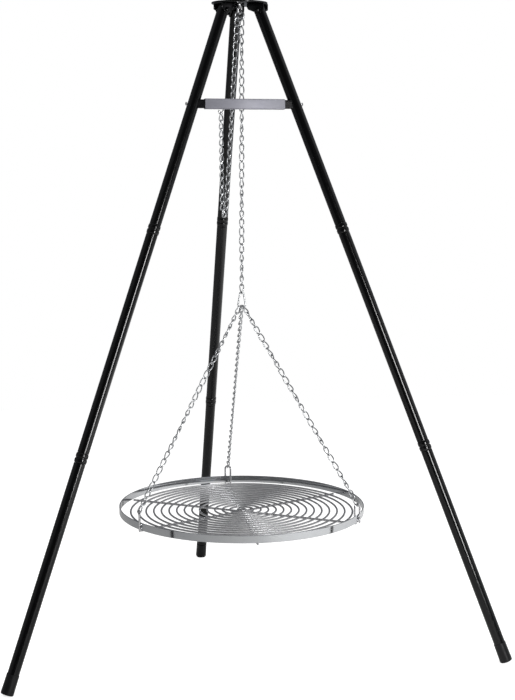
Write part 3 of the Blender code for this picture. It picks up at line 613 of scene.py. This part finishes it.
def build_leg(side):
    """Three tubes end to end, and the collars that join them."""
    matrix = leg_matrix(side)
    bore = TUBE_RADIUS - TUBE_WALL
    half = COLLAR_LENGTH / 2 + GAP
    ends = {
        "upper": (-TUBE_OVERRUN, section - half),
        "middle": (section + half, 2 * section - half),
        "lower": (2 * section + half, foot_end - FOOT_SOLE - GAP),
    }
    for name, (top, bottom) in ends.items():
        profile = band(bore, TUBE_RADIUS, -bottom, -top, TUBE_EDGE)
        tube = lathe(profile, 64, closed=True)
        dress_solid(f"leg_{side}_{name}", tube, matrix, "leg_coat")
    for number in range(1, SECTIONS):
        place = matrix @ Matrix.Translation((0, 0, -number * section))
        collar = lathe(collar_profile(), 64)
        dress_solid(f"collar_{side}_{number}", collar, place, "collar_coat")


def collar_profile():
    """A collar with two round ridges, on spigots that reach into the tubes."""
    spigot = TUBE_RADIUS - TUBE_WALL - SPIGOT_SLACK
    half = COLLAR_LENGTH / 2
    end = half + SPIGOT_REACH
    groove = COLLAR_RADIUS - COLLAR_GROOVE
    profile = [(COLLAR_CENTRE, -end), (spigot - SPIGOT_EDGE, -end), (spigot, -end + SPIGOT_EDGE)]
    profile += [(spigot, -half), (groove - COLLAR_EDGE, -half), (groove, -half + COLLAR_EDGE)]
    for sign in (-1, 1):
        centre = sign * COLLAR_RIDGE_SPACING / 2
        for n in range(17):
            along = n / 8 - 1
            reach = half - abs(centre) if along * sign > 0 else abs(centre)
            rise = (1 - abs(along) ** 3.0) ** 0.7
            profile.append((groove + COLLAR_GROOVE * rise, centre + along * (reach - 0.0006)))
    profile += [(groove, half - COLLAR_EDGE), (groove - COLLAR_EDGE, half), (spigot, half)]
    profile += [(spigot, end - SPIGOT_EDGE), (spigot - SPIGOT_EDGE, end), (COLLAR_CENTRE, end)]
    return profile


def build_foot(side):
    """A moulded cap, square to the tube, with a flat where it stands on the floor."""
    matrix = leg_matrix(side)
    bore = TUBE_RADIUS + GAP
    neck = TUBE_RADIUS + FOOT_WALL
    top = -(foot_end - FOOT_CAP_LENGTH)
    inner_end = -(foot_end - FOOT_SOLE)
    profile = [(COLLAR_CENTRE, -foot_end)]
    profile += arc((foot_outer - FOOT_BEND, FOOT_BEND - foot_end), FOOT_BEND, -90, 0, 8)
    profile += [(foot_outer, inner_end - 0.001), (foot_outer - 0.0001, inner_end + 0.004)]
    profile += [(neck + 0.0001, (top + inner_end) / 2), (neck, top + 0.0007)]
    profile += [(neck - 0.0002, top + 0.0002), (neck - 0.0007, top)]
    profile += [(bore, top), (bore, inner_end), (COLLAR_CENTRE, inner_end)]
    verts, faces = lathe(profile, 64)
    bm = bmesh.new()
    made = [bm.verts.new(matrix @ Vector(v)) for v in verts]
    for face in faces:
        bm.faces.new([made[i] for i in face])
    whole = bm.verts[:] + bm.edges[:] + bm.faces[:]
    cut = bmesh.ops.bisect_plane(
        bm, geom=whole, plane_co=(0, 0, 0.0001), plane_no=(0, 0, 1), clear_inner=True
    )
    cut_edges = [e for e in cut["geom_cut"] if isinstance(e, bmesh.types.BMEdge)]
    bmesh.ops.holes_fill(bm, edges=cut_edges)
    bmesh.ops.recalc_face_normals(bm, faces=bm.faces)
    node = f"foot_cap_{side}"
    mesh = bpy.data.meshes.new(node)
    bm.to_mesh(mesh)
    bm.free()
    dress(node, mesh, "foot_plastic")


# Top plate, cover, brackets, rivets and bolts


def dome(radius, base, height, start, end, steps):
    """A stretch of a dome's profile, above its base, between two angles."""
    return [(radius * x, base + height * z) for x, z in arc((0, 0), 1, start, end, steps)]


def build_top():
    """The plate with its bore for the eye bolt, and the domed cover on it."""
    bore = EYE_ROD + PLATE_BORE_SLACK
    flat = plate_radius - PLATE_EDGE
    profile = [(bore, PLATE_BOTTOM), (flat, PLATE_BOTTOM)]
    profile += arc((flat, PLATE_BOTTOM + PLATE_EDGE), PLATE_EDGE, -60, 0, 3)
    profile += arc((flat, plate_top - PLATE_EDGE), PLATE_EDGE, 0, 60, 3)
    profile += [(flat, plate_top), (bore, plate_top)]
    plate = lathe(profile, 128, closed=True)
    dress_solid("top_plate", plate, placed(axis), "plate_coat")
    radius = (cover_high.x - cover_low.x) / 2
    inner = radius - COVER_WALL
    base, height = cover_low.z, cover_high.z - cover_low.z
    profile = [(radius - COVER_EDGE, base)]
    profile += dome(radius, base, height, 4, 89.5, 20)
    profile += dome(inner, base, height - COVER_WALL, 89.5, 4, 20)
    profile += [(inner, base)]
    cover = lathe(profile, 96, closed=True)
    dress_solid("top_cover", cover, placed(axis), "cover_silver")


def build_bracket(side):
    """A folded sheet bracket: rounded cheeks either side of the tube, and bends along the web."""
    half = TUBE_RADIUS + BRACKET_SIDE_CLEARANCE
    foot = -CHEEK_RADIUS - CUT_MARGIN
    shoulder, height = bracket_half - BRACKET_BEND, web_top - BRACKET_BEND
    folded = [(-bracket_half, foot)] + arc((-shoulder, height), BRACKET_BEND, 180, 90, 5)
    folded += arc((shoulder, height), BRACKET_BEND, 90, 0, 5) + [(bracket_half, foot)]
    folded += [(half, foot), (half, web_bottom), (-half, web_bottom), (-half, foot)]
    length = BRACKET_IN + BRACKET_OUT + 2 * CUT_MARGIN
    verts, faces = prism(folded[::-1], -length, length)
    sheet = [(z, x, y) for x, y, z in verts], [face[::-1] for face in faces]
    cheek = [(-BRACKET_IN, web_top + 0.001), (-BRACKET_IN, 0.006)]
    cheek += [(-BRACKET_IN + 0.003, 0.001)] + arc((0, 0), CHEEK_RADIUS, -150, -10, 20)
    cheek += [(BRACKET_OUT, 0.001), (BRACKET_OUT, web_top + 0.001)]
    verts, faces = prism(cheek, -bracket_half - CUT_MARGIN, bracket_half + CUT_MARGIN)
    cutter = [(x, -z, y) for x, y, z in verts], faces
    mesh = carved(f"bracket_{side}", sheet, [cutter], "INTERSECT", bevel=BRACKET_EDGE)
    mesh.transform(bracket_matrix(side))
    dress(f"bracket_{side}", mesh, "plate_coat")


def build_bolt(side):
    """The pivot bolt, with a socket in its head and its thread in the nut."""
    matrix = bracket_matrix(side) @ placed((0, 0, 0), (90, 0, 0))
    head = bracket_half + GAP
    end = head + NUT_HEIGHT + BOLT_TAIL
    profile = [(BOLT_CENTRE, -end)]
    profile += [(BOLT_RADIUS - 0.0006, -end), (BOLT_RADIUS - 0.0001, -end + 0.0006)]
    for n in range(THREADS):
        z = -end + 0.0008 + n * THREAD_PITCH
        profile += [(BOLT_RADIUS - 0.0003, z), (BOLT_RADIUS - 0.00005, z + THREAD_PITCH / 2)]
    profile += [(BOLT_RADIUS, head - 0.0002), (BOLT_HEAD_RADIUS, head)]
    profile += dome(BOLT_HEAD_RADIUS, head, BOLT_HEAD_HEIGHT, 10, 62, 8)
    profile += [(BOLT_SOCKET + 0.0002, head + BOLT_HEAD_HEIGHT * 0.93)]
    profile += [(BOLT_SOCKET, head + BOLT_HEAD_HEIGHT * 0.86)]
    profile += [(BOLT_SOCKET, head + 0.001), (BOLT_CENTRE, head + 0.0008)]
    dress_solid(f"pivot_bolt_{side}", lathe(profile, 40), matrix, "plate_coat")
    nut = hex_nut(NUT_RADIUS, NUT_HEIGHT, BOLT_RADIUS + NUT_SLACK)
    place = matrix @ Matrix.Translation((0, 0, -head - NUT_HEIGHT))
    dress_solid(f"pivot_nut_{side}", nut, place, "plate_coat")


def build_rivet(side):
    """A rivet through web and plate, with a dome above and a small closed head below."""
    low = PIVOT_HEIGHT + web_bottom - GAP
    head = plate_top + GAP
    end = low - RIVET_HEAD_HEIGHT / 2
    small = RIVET_HEAD_RADIUS * 0.78
    profile = [(BOLT_CENTRE, end), (RIVET_HEAD_RADIUS * 0.5, end), (small, low - 0.0002)]
    profile += [(small, low), (RIVET_RADIUS, low), (RIVET_RADIUS, head)]
    profile += [(RIVET_HEAD_RADIUS, head)]
    profile += dome(RIVET_HEAD_RADIUS, head, RIVET_HEAD_HEIGHT, 8, 86, 7)
    place = placed(axis + polar(PIVOT_RADIUS - RIVET_INSET, LEG_ANGLES[side]))
    rivet = lathe(profile, 32)
    name = f"look_rivet_{side}"
    dress_solid(f"bracket_rivet_{side}", rivet, place, "fastener_zinc", name=name)


# Crossbar with its sleeve, screws, catch and hook


def rounded_square(side, radius):
    """A rounded square's outline, from its lower right corner round."""
    half = side / 2 - radius
    corners = [(half, -half), (half, half), (-half, half), (-half, -half)]
    points = []
    for centre, start in zip(corners, (-90, 0, 90, 180)):
        points += arc(centre, radius, start, start + 90, 5)
    return points


def loft(outlines):
    """A closed ring of outlines, each (distance along X, its YZ points)."""
    verts = [(x, y, z) for x, points in outlines for y, z in points]
    faces = grid_faces(len(outlines), len(outlines[0][1]))
    return verts, [face[::-1] for face in faces]


def build_crossbar():
    """The square bar, hollowed at its ends for the legs, and the sleeve on its middle."""
    half_span = (bar_high.x - bar_low.x) / 2 + BAR_OVERRUN
    verts, faces = prism(rounded_square(BAR_SIDE, BAR_CORNER), -half_span, half_span)
    bar = [(z, x, y) for x, y, z in verts], faces
    verts, faces = lathe([(TUBE_RADIUS + GAP, -LEG_CUT_LENGTH), (TUBE_RADIUS + GAP, 0.0)], 64)
    cutters = []
    for side in ("left", "right"):
        place = Matrix.Translation(-bar_centre) @ leg_matrix(side)
        cutters.append(([tuple(place @ Vector(v)) for v in verts], faces))
    mesh = carved("crossbar", bar, cutters)
    mesh.transform(Matrix.Translation(bar_centre))
    dress("crossbar", mesh, "bar_coat")
    end = (sleeve_high.x - sleeve_low.x) / 2
    outer = rounded_square(SLEEVE_SIDE, SLEEVE_CORNER)
    small = rounded_square(SLEEVE_SIDE - 2 * SLEEVE_EDGE, SLEEVE_CORNER - SLEEVE_EDGE)
    inner = rounded_square(BAR_SIDE + 2 * GAP, SLEEVE_BORE_CORNER)
    outlines = [(-end, inner), (-end, small), (-end + SLEEVE_EDGE, outer)]
    outlines += [(end - SLEEVE_EDGE, outer), (end, small), (end, inner)]
    place = Matrix.Translation((sleeve_low + sleeve_high) / 2)
    dress_solid("crossbar_sleeve", loft(outlines), place, "sleeve_silver", 50)


def build_screws():
    """Each screw from its tip in the bar to its domed head outside the leg."""
    for side, sign in (("left", -1), ("right", 1)):
        node = f"crossbar_screw_{side}"
        low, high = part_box(node)
        centre = (low + high) / 2
        tip = high.x if sign < 0 else low.x
        length = high.x - low.x
        seat_z = length - SCREW_HEAD_HEIGHT
        profile = [(BOLT_CENTRE, 0), (SCREW_RADIUS - 0.0006, 0.0)]
        profile += [(SCREW_RADIUS - 0.0001, 0.0006), (SCREW_RADIUS, seat_z)]
        profile += [(SCREW_HEAD_RADIUS, seat_z)]
        profile += dome(SCREW_HEAD_RADIUS, seat_z, SCREW_HEAD_HEIGHT, 12, 70, 7)
        profile += [(0.0015, length), (0.0014, length - 0.0014), (BOLT_CENTRE, length - 0.0016)]
        place = Matrix.Translation((tip, centre.y, centre.z))
        place = place @ placed((0, 0, 0), (0, sign * 90, 0))
        dress_solid(node, lathe(profile, 32), place, "fastener_zinc")


def build_catch():
    """The slotted catch: the node's own mesh with its sharp edges rounded."""
    mesh = frame["nodes"]["chain_catch"].data.copy()
    bm = bmesh.new()
    bm.from_mesh(mesh)
    bmesh.ops.remove_doubles(bm, verts=bm.verts, dist=0.00001)
    bmesh.ops.dissolve_limit(bm, angle_limit=radians(2), verts=bm.verts, edges=bm.edges)
    sharp = [e for e in bm.edges if len(e.link_faces) == 2 and e.calc_face_angle() > radians(40)]
    bmesh.ops.bevel(bm, geom=sharp, offset=CATCH_EDGE, segments=2, profile=0.5, affect="EDGES")
    bm.to_mesh(mesh)
    bm.free()
    dress("chain_catch", mesh, "fastener_zinc")


def build_hook():
    """A rod under the sleeve, bent up at its end for the last link."""
    y = bar_centre.y
    bend = hook_low + HOOK_RADIUS
    points = [(HOOK_X + HOOK_RADIUS, y, z) for z in np.linspace(sleeve_low.z - GAP, bend, 5)]
    points += [(x, y, z) for x, z in arc((HOOK_X, bend), HOOK_RADIUS, -8, -180, 18)]
    for n in (1, 2):
        points.append((HOOK_X - HOOK_RADIUS, y, hook_low + HOOK_RADIUS * (1 + 0.35 * n)))
    hook = sweep(points, HOOK_ROD, 14)
    dress_solid("chain_end_hook", hook, None, "fastener_zinc")


# Eye bolt and ring


def build_eye():
    """The eye bolt with its nut, and the ring in its eye."""
    shank_top = plate_top + GAP + EYE_NUT_HEIGHT + 2 * BOLT_TAIL
    neck = eye_centre_z + EYE_RADIUS
    points = [Vector((0, 0, z)) for z in np.linspace(shank_top, neck + EYE_ROD, 8)]
    for x, z in arc((0, eye_centre_z), EYE_RADIUS, 80, 90 - EYE_TURN, 44):
        points.append(strand * x + z_axis * z)
    eye = sweep([axis + p for p in points], EYE_ROD, 16)
    dress_solid("eye_bolt", eye, None, "fastener_zinc")
    nut = hex_nut(EYE_NUT_RADIUS, EYE_NUT_HEIGHT, EYE_ROD + NUT_SLACK)
    place = placed(axis + z_axis * (plate_top + GAP))
    dress_solid("eye_bolt_nut", nut, place, "fastener_zinc")
    ring = torus(RING_RADIUS, RING_WIRE, 0.0, 56, 14)
    place = placed(axis + z_axis * ring_centre_z, (90, 0, STRAND_ANGLE + 90))
    dress_solid("top_ring", ring, place, "chain_zinc")


# Chain links


def link_shape(half_length, twist):
    """One link of round wire: a full oval twisted about Z, thicker at the weld in one side."""
    angles = np.arange(720) * 2 * pi / 720
    oval = [np.sign(v) * np.abs(v) ** (2 / LINK_FULLNESS) for v in (np.cos(angles), np.sin(angles))]
    x, z = LINK_HALF_WIDTH * oval[0], half_length * oval[1]
    steps = np.hypot(np.diff(x, append=x[0]), np.diff(z, append=z[0]))
    along = np.concatenate([[0], np.cumsum(steps)])
    places = np.arange(LINK_POINTS) * along[-1] / LINK_POINTS
    x, z = [np.interp(places, along, np.append(v, v[0])) for v in (x, z)]
    turn = np.radians(twist / 2) * z / half_length
    points = np.stack([x * np.cos(turn), x * np.sin(turn), z], 1)
    level = np.stack([-np.sin(turn), np.cos(turn), np.zeros(LINK_POINTS)], 1)
    ways = np.roll(points, -1, 0) - np.roll(points, 1, 0)
    ways /= np.linalg.norm(ways, axis=1)[:, None]
    level -= ways * (level * ways).sum(1)[:, None]
    level /= np.linalg.norm(level, axis=1)[:, None]
    out = np.cross(ways, level)
    seam = 1 + LINK_SEAM * np.exp(-((z / LINK_SEAM_LENGTH) ** 2)) * (x > 0)
    angles = np.arange(LINK_SIDES) * 2 * pi / LINK_SIDES
    around = np.cos(angles)[None, :, None] * out[:, None]
    around += np.sin(angles)[None, :, None] * level[:, None]
    verts = points[:, None] + WIRE * seam[:, None, None] * around
    faces = grid_faces(LINK_POINTS, LINK_SIDES)
    return verts.reshape(-1, 3), [face[::-1] for face in faces]


def link_axes(start, end):
    """A link's X, Y and Z, with Z from its lower end to its upper one."""
    z = (start - end).normalized()
    y = (y_axis - z * y_axis.dot(z)).normalized()
    return y.cross(z), y, z


def link_place(start, end, roll):
    x, y, z = link_axes(start, end)
    axes = Matrix((x, y, z)).transposed() @ Matrix.Rotation(radians(roll), 3, "Z")
    return Matrix.Translation((start + end) / 2) @ axes.to_4x4()


def crossing_roll(start, end, wire):
    """The roll, in degrees, of an arc about the link's Z that crosses a wire squarely."""
    x, y, z = link_axes(start, end)
    level = z.cross(wire)
    return degrees(atan2(level.dot(y), level.dot(x)))


def seat(rod):
    """How far a strand's end point stays from the centre of a rod that it bears on."""
    return rod / cos(pi / 6) + GAP + SEAT_SLACK


def straight_links(start, start_rod, end, end_rod, wires, turn_per_link):
    """Points and rolls of a strand whose end links cross two wires squarely."""
    up = (start - end).normalized()
    first = start + up * seat(start_rod)
    last = end - up * seat(end_rod)
    count = round((last - first).length / PITCH)
    points = [first.lerp(last, n / count) for n in range(count + 1)]
    begin = crossing_roll(first, last, wires[0]) - LINK_TWIST / 2
    finish = crossing_roll(first, last, wires[1]) + LINK_TWIST / 2
    whole = finish - begin
    whole += 180 * round((turn_per_link * (count - 1) - whole) / 180)
    return points, [begin + whole * n / (count - 1) for n in range(count)]


def link_ends(points):
    """The centres of the wire at both ends of each link, where neighbours touch."""
    ways = [(a - b).normalized() for a, b in zip(points, points[1:])]
    pulls = [ways[0]] + [(a + b).normalized() for a, b in zip(ways, ways[1:])] + [ways[-1]]
    tops = [point + pull * WIRE for point, pull in zip(points, pulls)]
    bottoms = [point - pull * WIRE for point, pull in zip(points, pulls)]
    return list(zip(tops[:-1], bottoms[1:]))


def build_chain(node, points, rolls, first=0, last=None):
    """Some of a strand's links, as one piece."""
    shape = Shape()
    made = {}
    ends = link_ends(points)
    for n in range(len(ends))[first:last]:
        top, bottom = ends[n]
        half = round((top - bottom).length / 2, 6)
        if half not in made:
            made[half] = link_shape(half, LINK_TWIST)
        shape.add(*made[half], link_place(axis + top, axis + bottom, rolls[n]))
    return dress(node, shape.mesh(node), "chain_zinc", 60)


# Grate, with its hangers and slings


def build_rim():
    """The flat band round the grate, with its edges broken."""
    inner = GRATE_RADIUS - RIM_THICKNESS
    profile = band(inner, GRATE_RADIUS, rim_bottom, rim_top, RIM_EDGE)
    rim = lathe(profile, 256, closed=True)
    dress_solid("grate_rim", rim, placed(grate_centre), "rim_steel")


def build_grid():
    """Rings of round wire laid on three crossing rods, with a weld at each crossing."""
    spoke_z = rim_bottom - GAP - SPOKE_WIRE
    ring_z = spoke_z + SPOKE_WIRE + GRID_WIRE - WELD
    weld_z = spoke_z + SPOKE_WIRE - WELD / 2
    radii = [OUTER_RING - n * ring_spacing for n in range(RING_COUNT)]
    shape = Shape()
    for radius in radii:
        segments = max(24, 4 * round(34 * radius / OUTER_RING))
        shape.add(*torus(radius, GRID_WIRE, ring_z, segments, 10), placed(grate_centre))
    length = GRATE_RADIUS - RIM_THICKNESS / 2
    for angle in LEG_ANGLES.values():
        angle += GRATE_TURN
        start, end = polar(-length, angle, spoke_z), polar(length, angle, spoke_z)
        points = [grate_centre + start.lerp(end, n / 24) for n in range(25)]
        shape.add(*sweep(points, SPOKE_WIRE, 12))
        for radius in radii:
            for sign in (-1, 1):
                place = grate_centre + polar(sign * radius, angle, weld_z)
                shape.add(*lathe(GRID_BEAD, 10), placed(place))
    dress("grate_grid", shape.mesh("grate_grid"), "grid_steel", 60)


def build_hanger(side):
    """A rod bent over the rim and welded to it. Gives its crown and its way there."""
    angle = LEG_ANGLES[side] + GRATE_TURN
    middle = polar(GRATE_RADIUS - RIM_THICKNESS / 2, angle)
    outward = polar(1, angle)
    sideways = Vector((-outward.y, outward.x, 0))
    step = RIM_THICKNESS / 2 + HANGER_ROD + GAP
    low = rim_bottom - HANGER_DROP
    top = rim_top + HANGER_RISE - HANGER_ROD
    line = [(HANGER_SPREAD, z) for z in np.linspace(low, top - HANGER_SPREAD, 9)[:-1]]
    line += arc((0, top - HANGER_SPREAD), HANGER_SPREAD, 0, 180, 18)
    line += [(-HANGER_SPREAD, z) for z in np.linspace(top - HANGER_SPREAD, low, 9)[1:]]
    points = []
    for x, z in line:
        point = middle + sideways * x + outward * step * x / HANGER_SPREAD + z_axis * z
        points.append(grate_centre + point)
    shape = Shape().add(*sweep(points, HANGER_ROD, 14))
    for sign in (1, -1):
        foot = middle + sideways * HANGER_SPREAD * sign + outward * (step - HANGER_ROD) * sign
        for share in (0.22, 0.78):
            height = rim_bottom + (rim_top - rim_bottom) * share
            for way in (-1, 1):
                place = foot + sideways * way * HANGER_ROD * 0.8 + outward * 0.0006 * sign
                place = grate_centre + (place + z_axis * height)
                shape.add(*lathe(HANGER_BEAD, 12), placed(place))
    node = f"hanger_{side}"
    dress(node, shape.mesh(node), "rod_steel")
    return middle + z_axis * top, (sideways * HANGER_SPREAD + outward * step).normalized()


def build_sling(side):
    """A hanger, and the sling chain from the pear link down to it."""
    end, wire = build_hanger(side)
    place, turn = SLINGS[side]
    start = Vector((place, 0, PEAR_TOP - PEAR_HEIGHT + PEAR_WIRE))
    points, rolls = straight_links(start, PEAR_WIRE, end, HANGER_ROD, (x_axis, wire), turn)
    shift = grate_centre - axis
    build_chain(f"sling_chain_{side}", [shift + p for p in points], rolls)


# The hoist: saddle link, main chain, pear link, tail and slack loop


def build_saddle():
    """The link that lies over the ring. A strand hangs on each of its ends."""
    axes = Matrix((across, z_axis, across.cross(z_axis))).transposed()
    place = Matrix.Translation(axis + z_axis * saddle_z) @ axes.to_4x4()
    link = link_shape(saddle_half, 0)
    name = "look_saddle_link"
    dress_solid("chain_saddle_link", link, place, "chain_zinc", 60, name)


def build_main_chain():
    """The strand down to the pear link. Its end links are pieces of their own."""
    end = saddle_end + z_axis * (PEAR_TOP - PEAR_WIRE)
    wires = (across, polar(1, END_LINK_TURN))
    points, rolls = straight_links(main_start, WIRE, end, PEAR_WIRE, wires, MAIN_TURN)
    build_chain("chain_top_link", points, rolls, 0, 1)
    main_chain = build_chain("main_chain", points, rolls, 1, -1)
    build_chain("chain_end_link", points, rolls, -1)
    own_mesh(main_chain)


def pear_points():
    """The pear link's centre line in XZ, relative to its top."""
    half = PEAR_HALF_WIDTH - PEAR_WIRE
    low = -PEAR_HEIGHT + PEAR_WIRE
    top = arc((0, -PEAR_WIRE - PEAR_TOP_RADIUS), PEAR_TOP_RADIUS, 186, -6, 14)
    right = arc((half - PEAR_CORNER, low + PEAR_CORNER), PEAR_CORNER, 12, -90, 9)
    left = arc((-half + PEAR_CORNER, low + PEAR_CORNER), PEAR_CORNER, 270, 168, 9)
    points = top + right + left
    out = []
    for n, (x, z) in enumerate(points):
        x2, z2 = points[(n + 1) % len(points)]
        steps = max(1, round(hypot(x2 - x, z2 - z) / PEAR_STEP))
        out += [(x + (x2 - x) * k / steps, z + (z2 - z) * k / steps) for k in range(steps)]
    return out


def build_pear():
    points = [grate_centre + Vector((x, 0, PEAR_TOP + z)) for x, z in pear_points()]
    pear = sweep(points, PEAR_WIRE, 14, closed=True)
    dress_solid("pear_link", pear, None, "chain_zinc")


def build_tail():
    """The strand down to the catch. Gives the point where it is held, and the roll there."""
    slot_x = (catch_low.x + catch_high.x) / 2
    slot_y = sleeve_high.y + GAP + CATCH_Y - axis.y
    slot_z = bar_centre.z - CATCH_BELOW_BAR - CATCH_SHEET / 2
    slot_point = Vector((slot_x, slot_y, slot_z))
    lean = (slot_point - tail_start).normalized()
    lock_drop = CATCH_SHEET / 2 + GAP + 2 * WIRE
    lock_point = slot_point + lean * lock_drop
    slot_roll = 90 + LINK_TWIST / 2 * (PITCH / 2 - lock_drop) / (PITCH / 2 + WIRE)
    end = lock_point + lean * WIRE
    wires = (across, polar(1, slot_roll - LINK_TWIST / 2 - 90))
    points, rolls = straight_links(tail_start, WIRE, end, WIRE, wires, 0)
    build_chain("chain_tail", points, rolls)
    return lock_point, slot_roll


def even_steps(start, end):
    count = round((end - start).length / PITCH)
    return [start.lerp(end, n / count) for n in range(count + 1)]


def build_slack_loop(lock_point, slot_roll):
    """The loop of slack, down from the catch and up again to the hook."""
    hook_point = Vector((HOOK_X, bar_centre.y - axis.y, hook_low))
    apart = hook_point - lock_point
    toward_hook = Vector((apart.x, apart.y, 0)).normalized()
    low_point = lock_point + toward_hook * (LOOP_X - lock_point.x) / toward_hook.x
    low_point.z = LOOP_BOTTOM
    rise = z_axis * sqrt(PITCH**2 - LOOP_HALF_GAP**2)
    down_end = low_point - toward_hook * LOOP_HALF_GAP + rise
    up_start = low_point + toward_hook * LOOP_HALF_GAP + rise
    down = even_steps(lock_point + z_axis * GAP, down_end)
    up = even_steps(up_start, hook_point + z_axis * seat(HOOK_ROD))
    last = len(down) - 1
    rolls = [slot_roll + (LOOP_ROLL - slot_roll) * n / last for n in range(last + 1)]
    rolls += [LOOP_ROLL] * len(up)
    build_chain("slack_loop", down + [low_point] + up, rolls)


# Floor, light and camera


def across_axis(tree, vector, name, start, end, high=1.0):
    """Goes smoothly from 0 to high while that part of the vector goes from start to end."""
    node = tree.nodes.new("ShaderNodeSeparateXYZ")
    tree.links.new(vector, node.inputs[0])
    return map_range(tree, node.outputs[name], start, end, 0.0, high, "SMOOTHSTEP")


def build_floor():
    """The white floor. Mirrored in the metal it is dark on the left and bright on the right."""
    mesh = bpy.data.meshes.new("floor")
    corners = [(-1, -1), (1, -1), (1, 1), (-1, 1)]
    verts = [(FLOOR_REACH * x, FLOOR_REACH * y, 0) for x, y in corners]
    mesh.from_pydata(verts, [], [(0, 1, 2, 3)])
    floor = in_scene("floor", mesh)
    floor.location.z = -FLOOR_DROP
    material = bpy.data.materials.new("pale floor")
    material.use_nodes = True
    tree = material.node_tree
    shader = tree.nodes["Principled BSDF"]
    shader.inputs["Base Color"].default_value = (0.62, 0.62, 0.62, 1)
    shader.inputs["Roughness"].default_value = 0.9
    shader.inputs["Specular IOR Level"].default_value = 0.1
    shader.inputs["Emission Color"].default_value = (1, 1, 1, 1)
    path = tree.nodes.new("ShaderNodeLightPath")
    place = tree.nodes.new("ShaderNodeNewGeometry").outputs["Position"]
    to_right = across_axis(tree, place, "X", 0.0, 1.5, FLOOR_MIRRORED)
    mirrored = tree.nodes.new("ShaderNodeMath")
    mirrored.operation = "MULTIPLY"
    tree.links.new(path.outputs["Is Glossy Ray"], mirrored.inputs[0])
    tree.links.new(to_right, mirrored.inputs[1])
    strength = tree.nodes.new("ShaderNodeMath")
    strength.operation = "MULTIPLY_ADD"
    tree.links.new(path.outputs["Is Camera Ray"], strength.inputs[0])
    strength.inputs[1].default_value = FLOOR_SEEN
    tree.links.new(mirrored.outputs[0], strength.inputs[2])
    tree.links.new(strength.outputs[0], shader.inputs["Emission Strength"])
    mesh.materials.append(material)


def build_world():
    """White behind the object, and plain grey where it lights dull surfaces.

    Reflections see a soft studio: darker in front and at the back, and brighter on the right.
    """
    world = bpy.data.worlds.new("studio")
    bpy.context.scene.world = world
    world.use_nodes = True
    tree = world.node_tree
    tree.nodes.clear()
    output = tree.nodes.new("ShaderNodeOutputWorld")
    path = tree.nodes.new("ShaderNodeLightPath")
    direction = tree.nodes.new("ShaderNodeTexCoord").outputs["Generated"]

    def background(colour, strength):
        node = tree.nodes.new("ShaderNodeBackground")
        node.inputs["Color"].default_value = (*colour, 1)
        node.inputs["Strength"].default_value = strength
        return node

    def mix(factor, first, second):
        node = tree.nodes.new("ShaderNodeMixShader")
        tree.links.new(factor, node.inputs[0])
        tree.links.new(first.outputs[0], node.inputs[1])
        tree.links.new(second.outputs[0], node.inputs[2])
        return node

    white = background((1, 1, 1), 1.0)
    ambient = background((1, 1, 1), 0.42)
    front = background((1, 1, 1), 0.06)
    left = background((0.95, 0.97, 1.0), 0.30)
    right = background((0.95, 0.97, 1.0), 0.64)
    back = background((0.9, 0.93, 1.0), 0.22)
    sides = mix(across_axis(tree, direction, "X", -0.3, 0.6), left, right)
    reflected = mix(across_axis(tree, direction, "Y", -0.80, -0.30), front, sides)
    reflected = mix(across_axis(tree, direction, "Y", 0.15, 0.75), reflected, back)
    lit = mix(path.outputs["Is Glossy Ray"], ambient, reflected)
    through = mix(path.outputs["Is Transmission Ray"], lit, white)
    shown = mix(path.outputs["Is Camera Ray"], through, white)
    tree.links.new(shown.outputs[0], output.inputs["Surface"])


def lamp(name, location, target, size, power):
    light = bpy.data.lights.new(name, "AREA")
    light.shape = "RECTANGLE"
    light.size, light.size_y = size
    light.energy = power
    obj = in_scene(name, light)
    obj.location = location
    way = Vector(target) - Vector(location)
    obj.rotation_euler = way.to_track_quat("-Z", "Y").to_euler()
    return obj


def build_camera():
    pitch, yaw, roll = radians(CAMERA_PITCH), radians(CAMERA_YAW), radians(CAMERA_ROLL)
    forward = Vector((sin(yaw) * cos(pitch), cos(yaw) * cos(pitch), -sin(pitch)))
    right = Vector((cos(yaw), -sin(yaw), 0))
    up = right.cross(forward)
    turned_right = right * cos(roll) + up * sin(roll)
    turned_up = -right * sin(roll) + up * cos(roll)
    turn = Matrix.Rotation(radians(VIEW_TURN), 3, "Z")
    axes = Matrix((turn @ turned_right, turn @ turned_up, turn @ -forward)).transposed()
    place = axis + turn @ Vector(CAMERA_PLACE)
    data = bpy.data.cameras.new("photo camera")
    data.sensor_width = SENSOR
    data.lens = SENSOR * FOCAL_PIXELS / PHOTO_HEIGHT
    camera = in_scene("photo camera", data)
    camera.matrix_world = Matrix.Translation(place) @ axes.to_4x4()
    bpy.context.scene.camera = camera


build_top()
for leg_side in LEG_ANGLES:
    build_leg(leg_side)
    build_foot(leg_side)
    build_bracket(leg_side)
    build_bolt(leg_side)
    build_rivet(leg_side)
build_crossbar()
build_screws()
build_catch()
build_hook()
build_eye()
build_saddle()
build_main_chain()
build_pear()
build_rim()
build_grid()
for leg_side in SLINGS:
    build_sling(leg_side)
build_slack_loop(*build_tail())

build_floor()
build_world()
lamp("window", (1.06, -2.74, 1.00), (0, -0.3, 0.9), (0.40, 1.20), 50)
for name, place, size, power in (
    ("key", (-2.6, -2.4, 3.2), (1.6, 1.6), 36),
    ("fill", (2.8, -1.8, 2.0), (1.4, 1.8), 16),
    ("top", (0.55, 0.1, 3.4), (0.7, 1.8), 22),
):
    lamp(name, place, (0, -0.1, 0.7), size, power).visible_glossy = False
build_camera()
bpy.context.scene.view_settings.view_transform = "Standard"
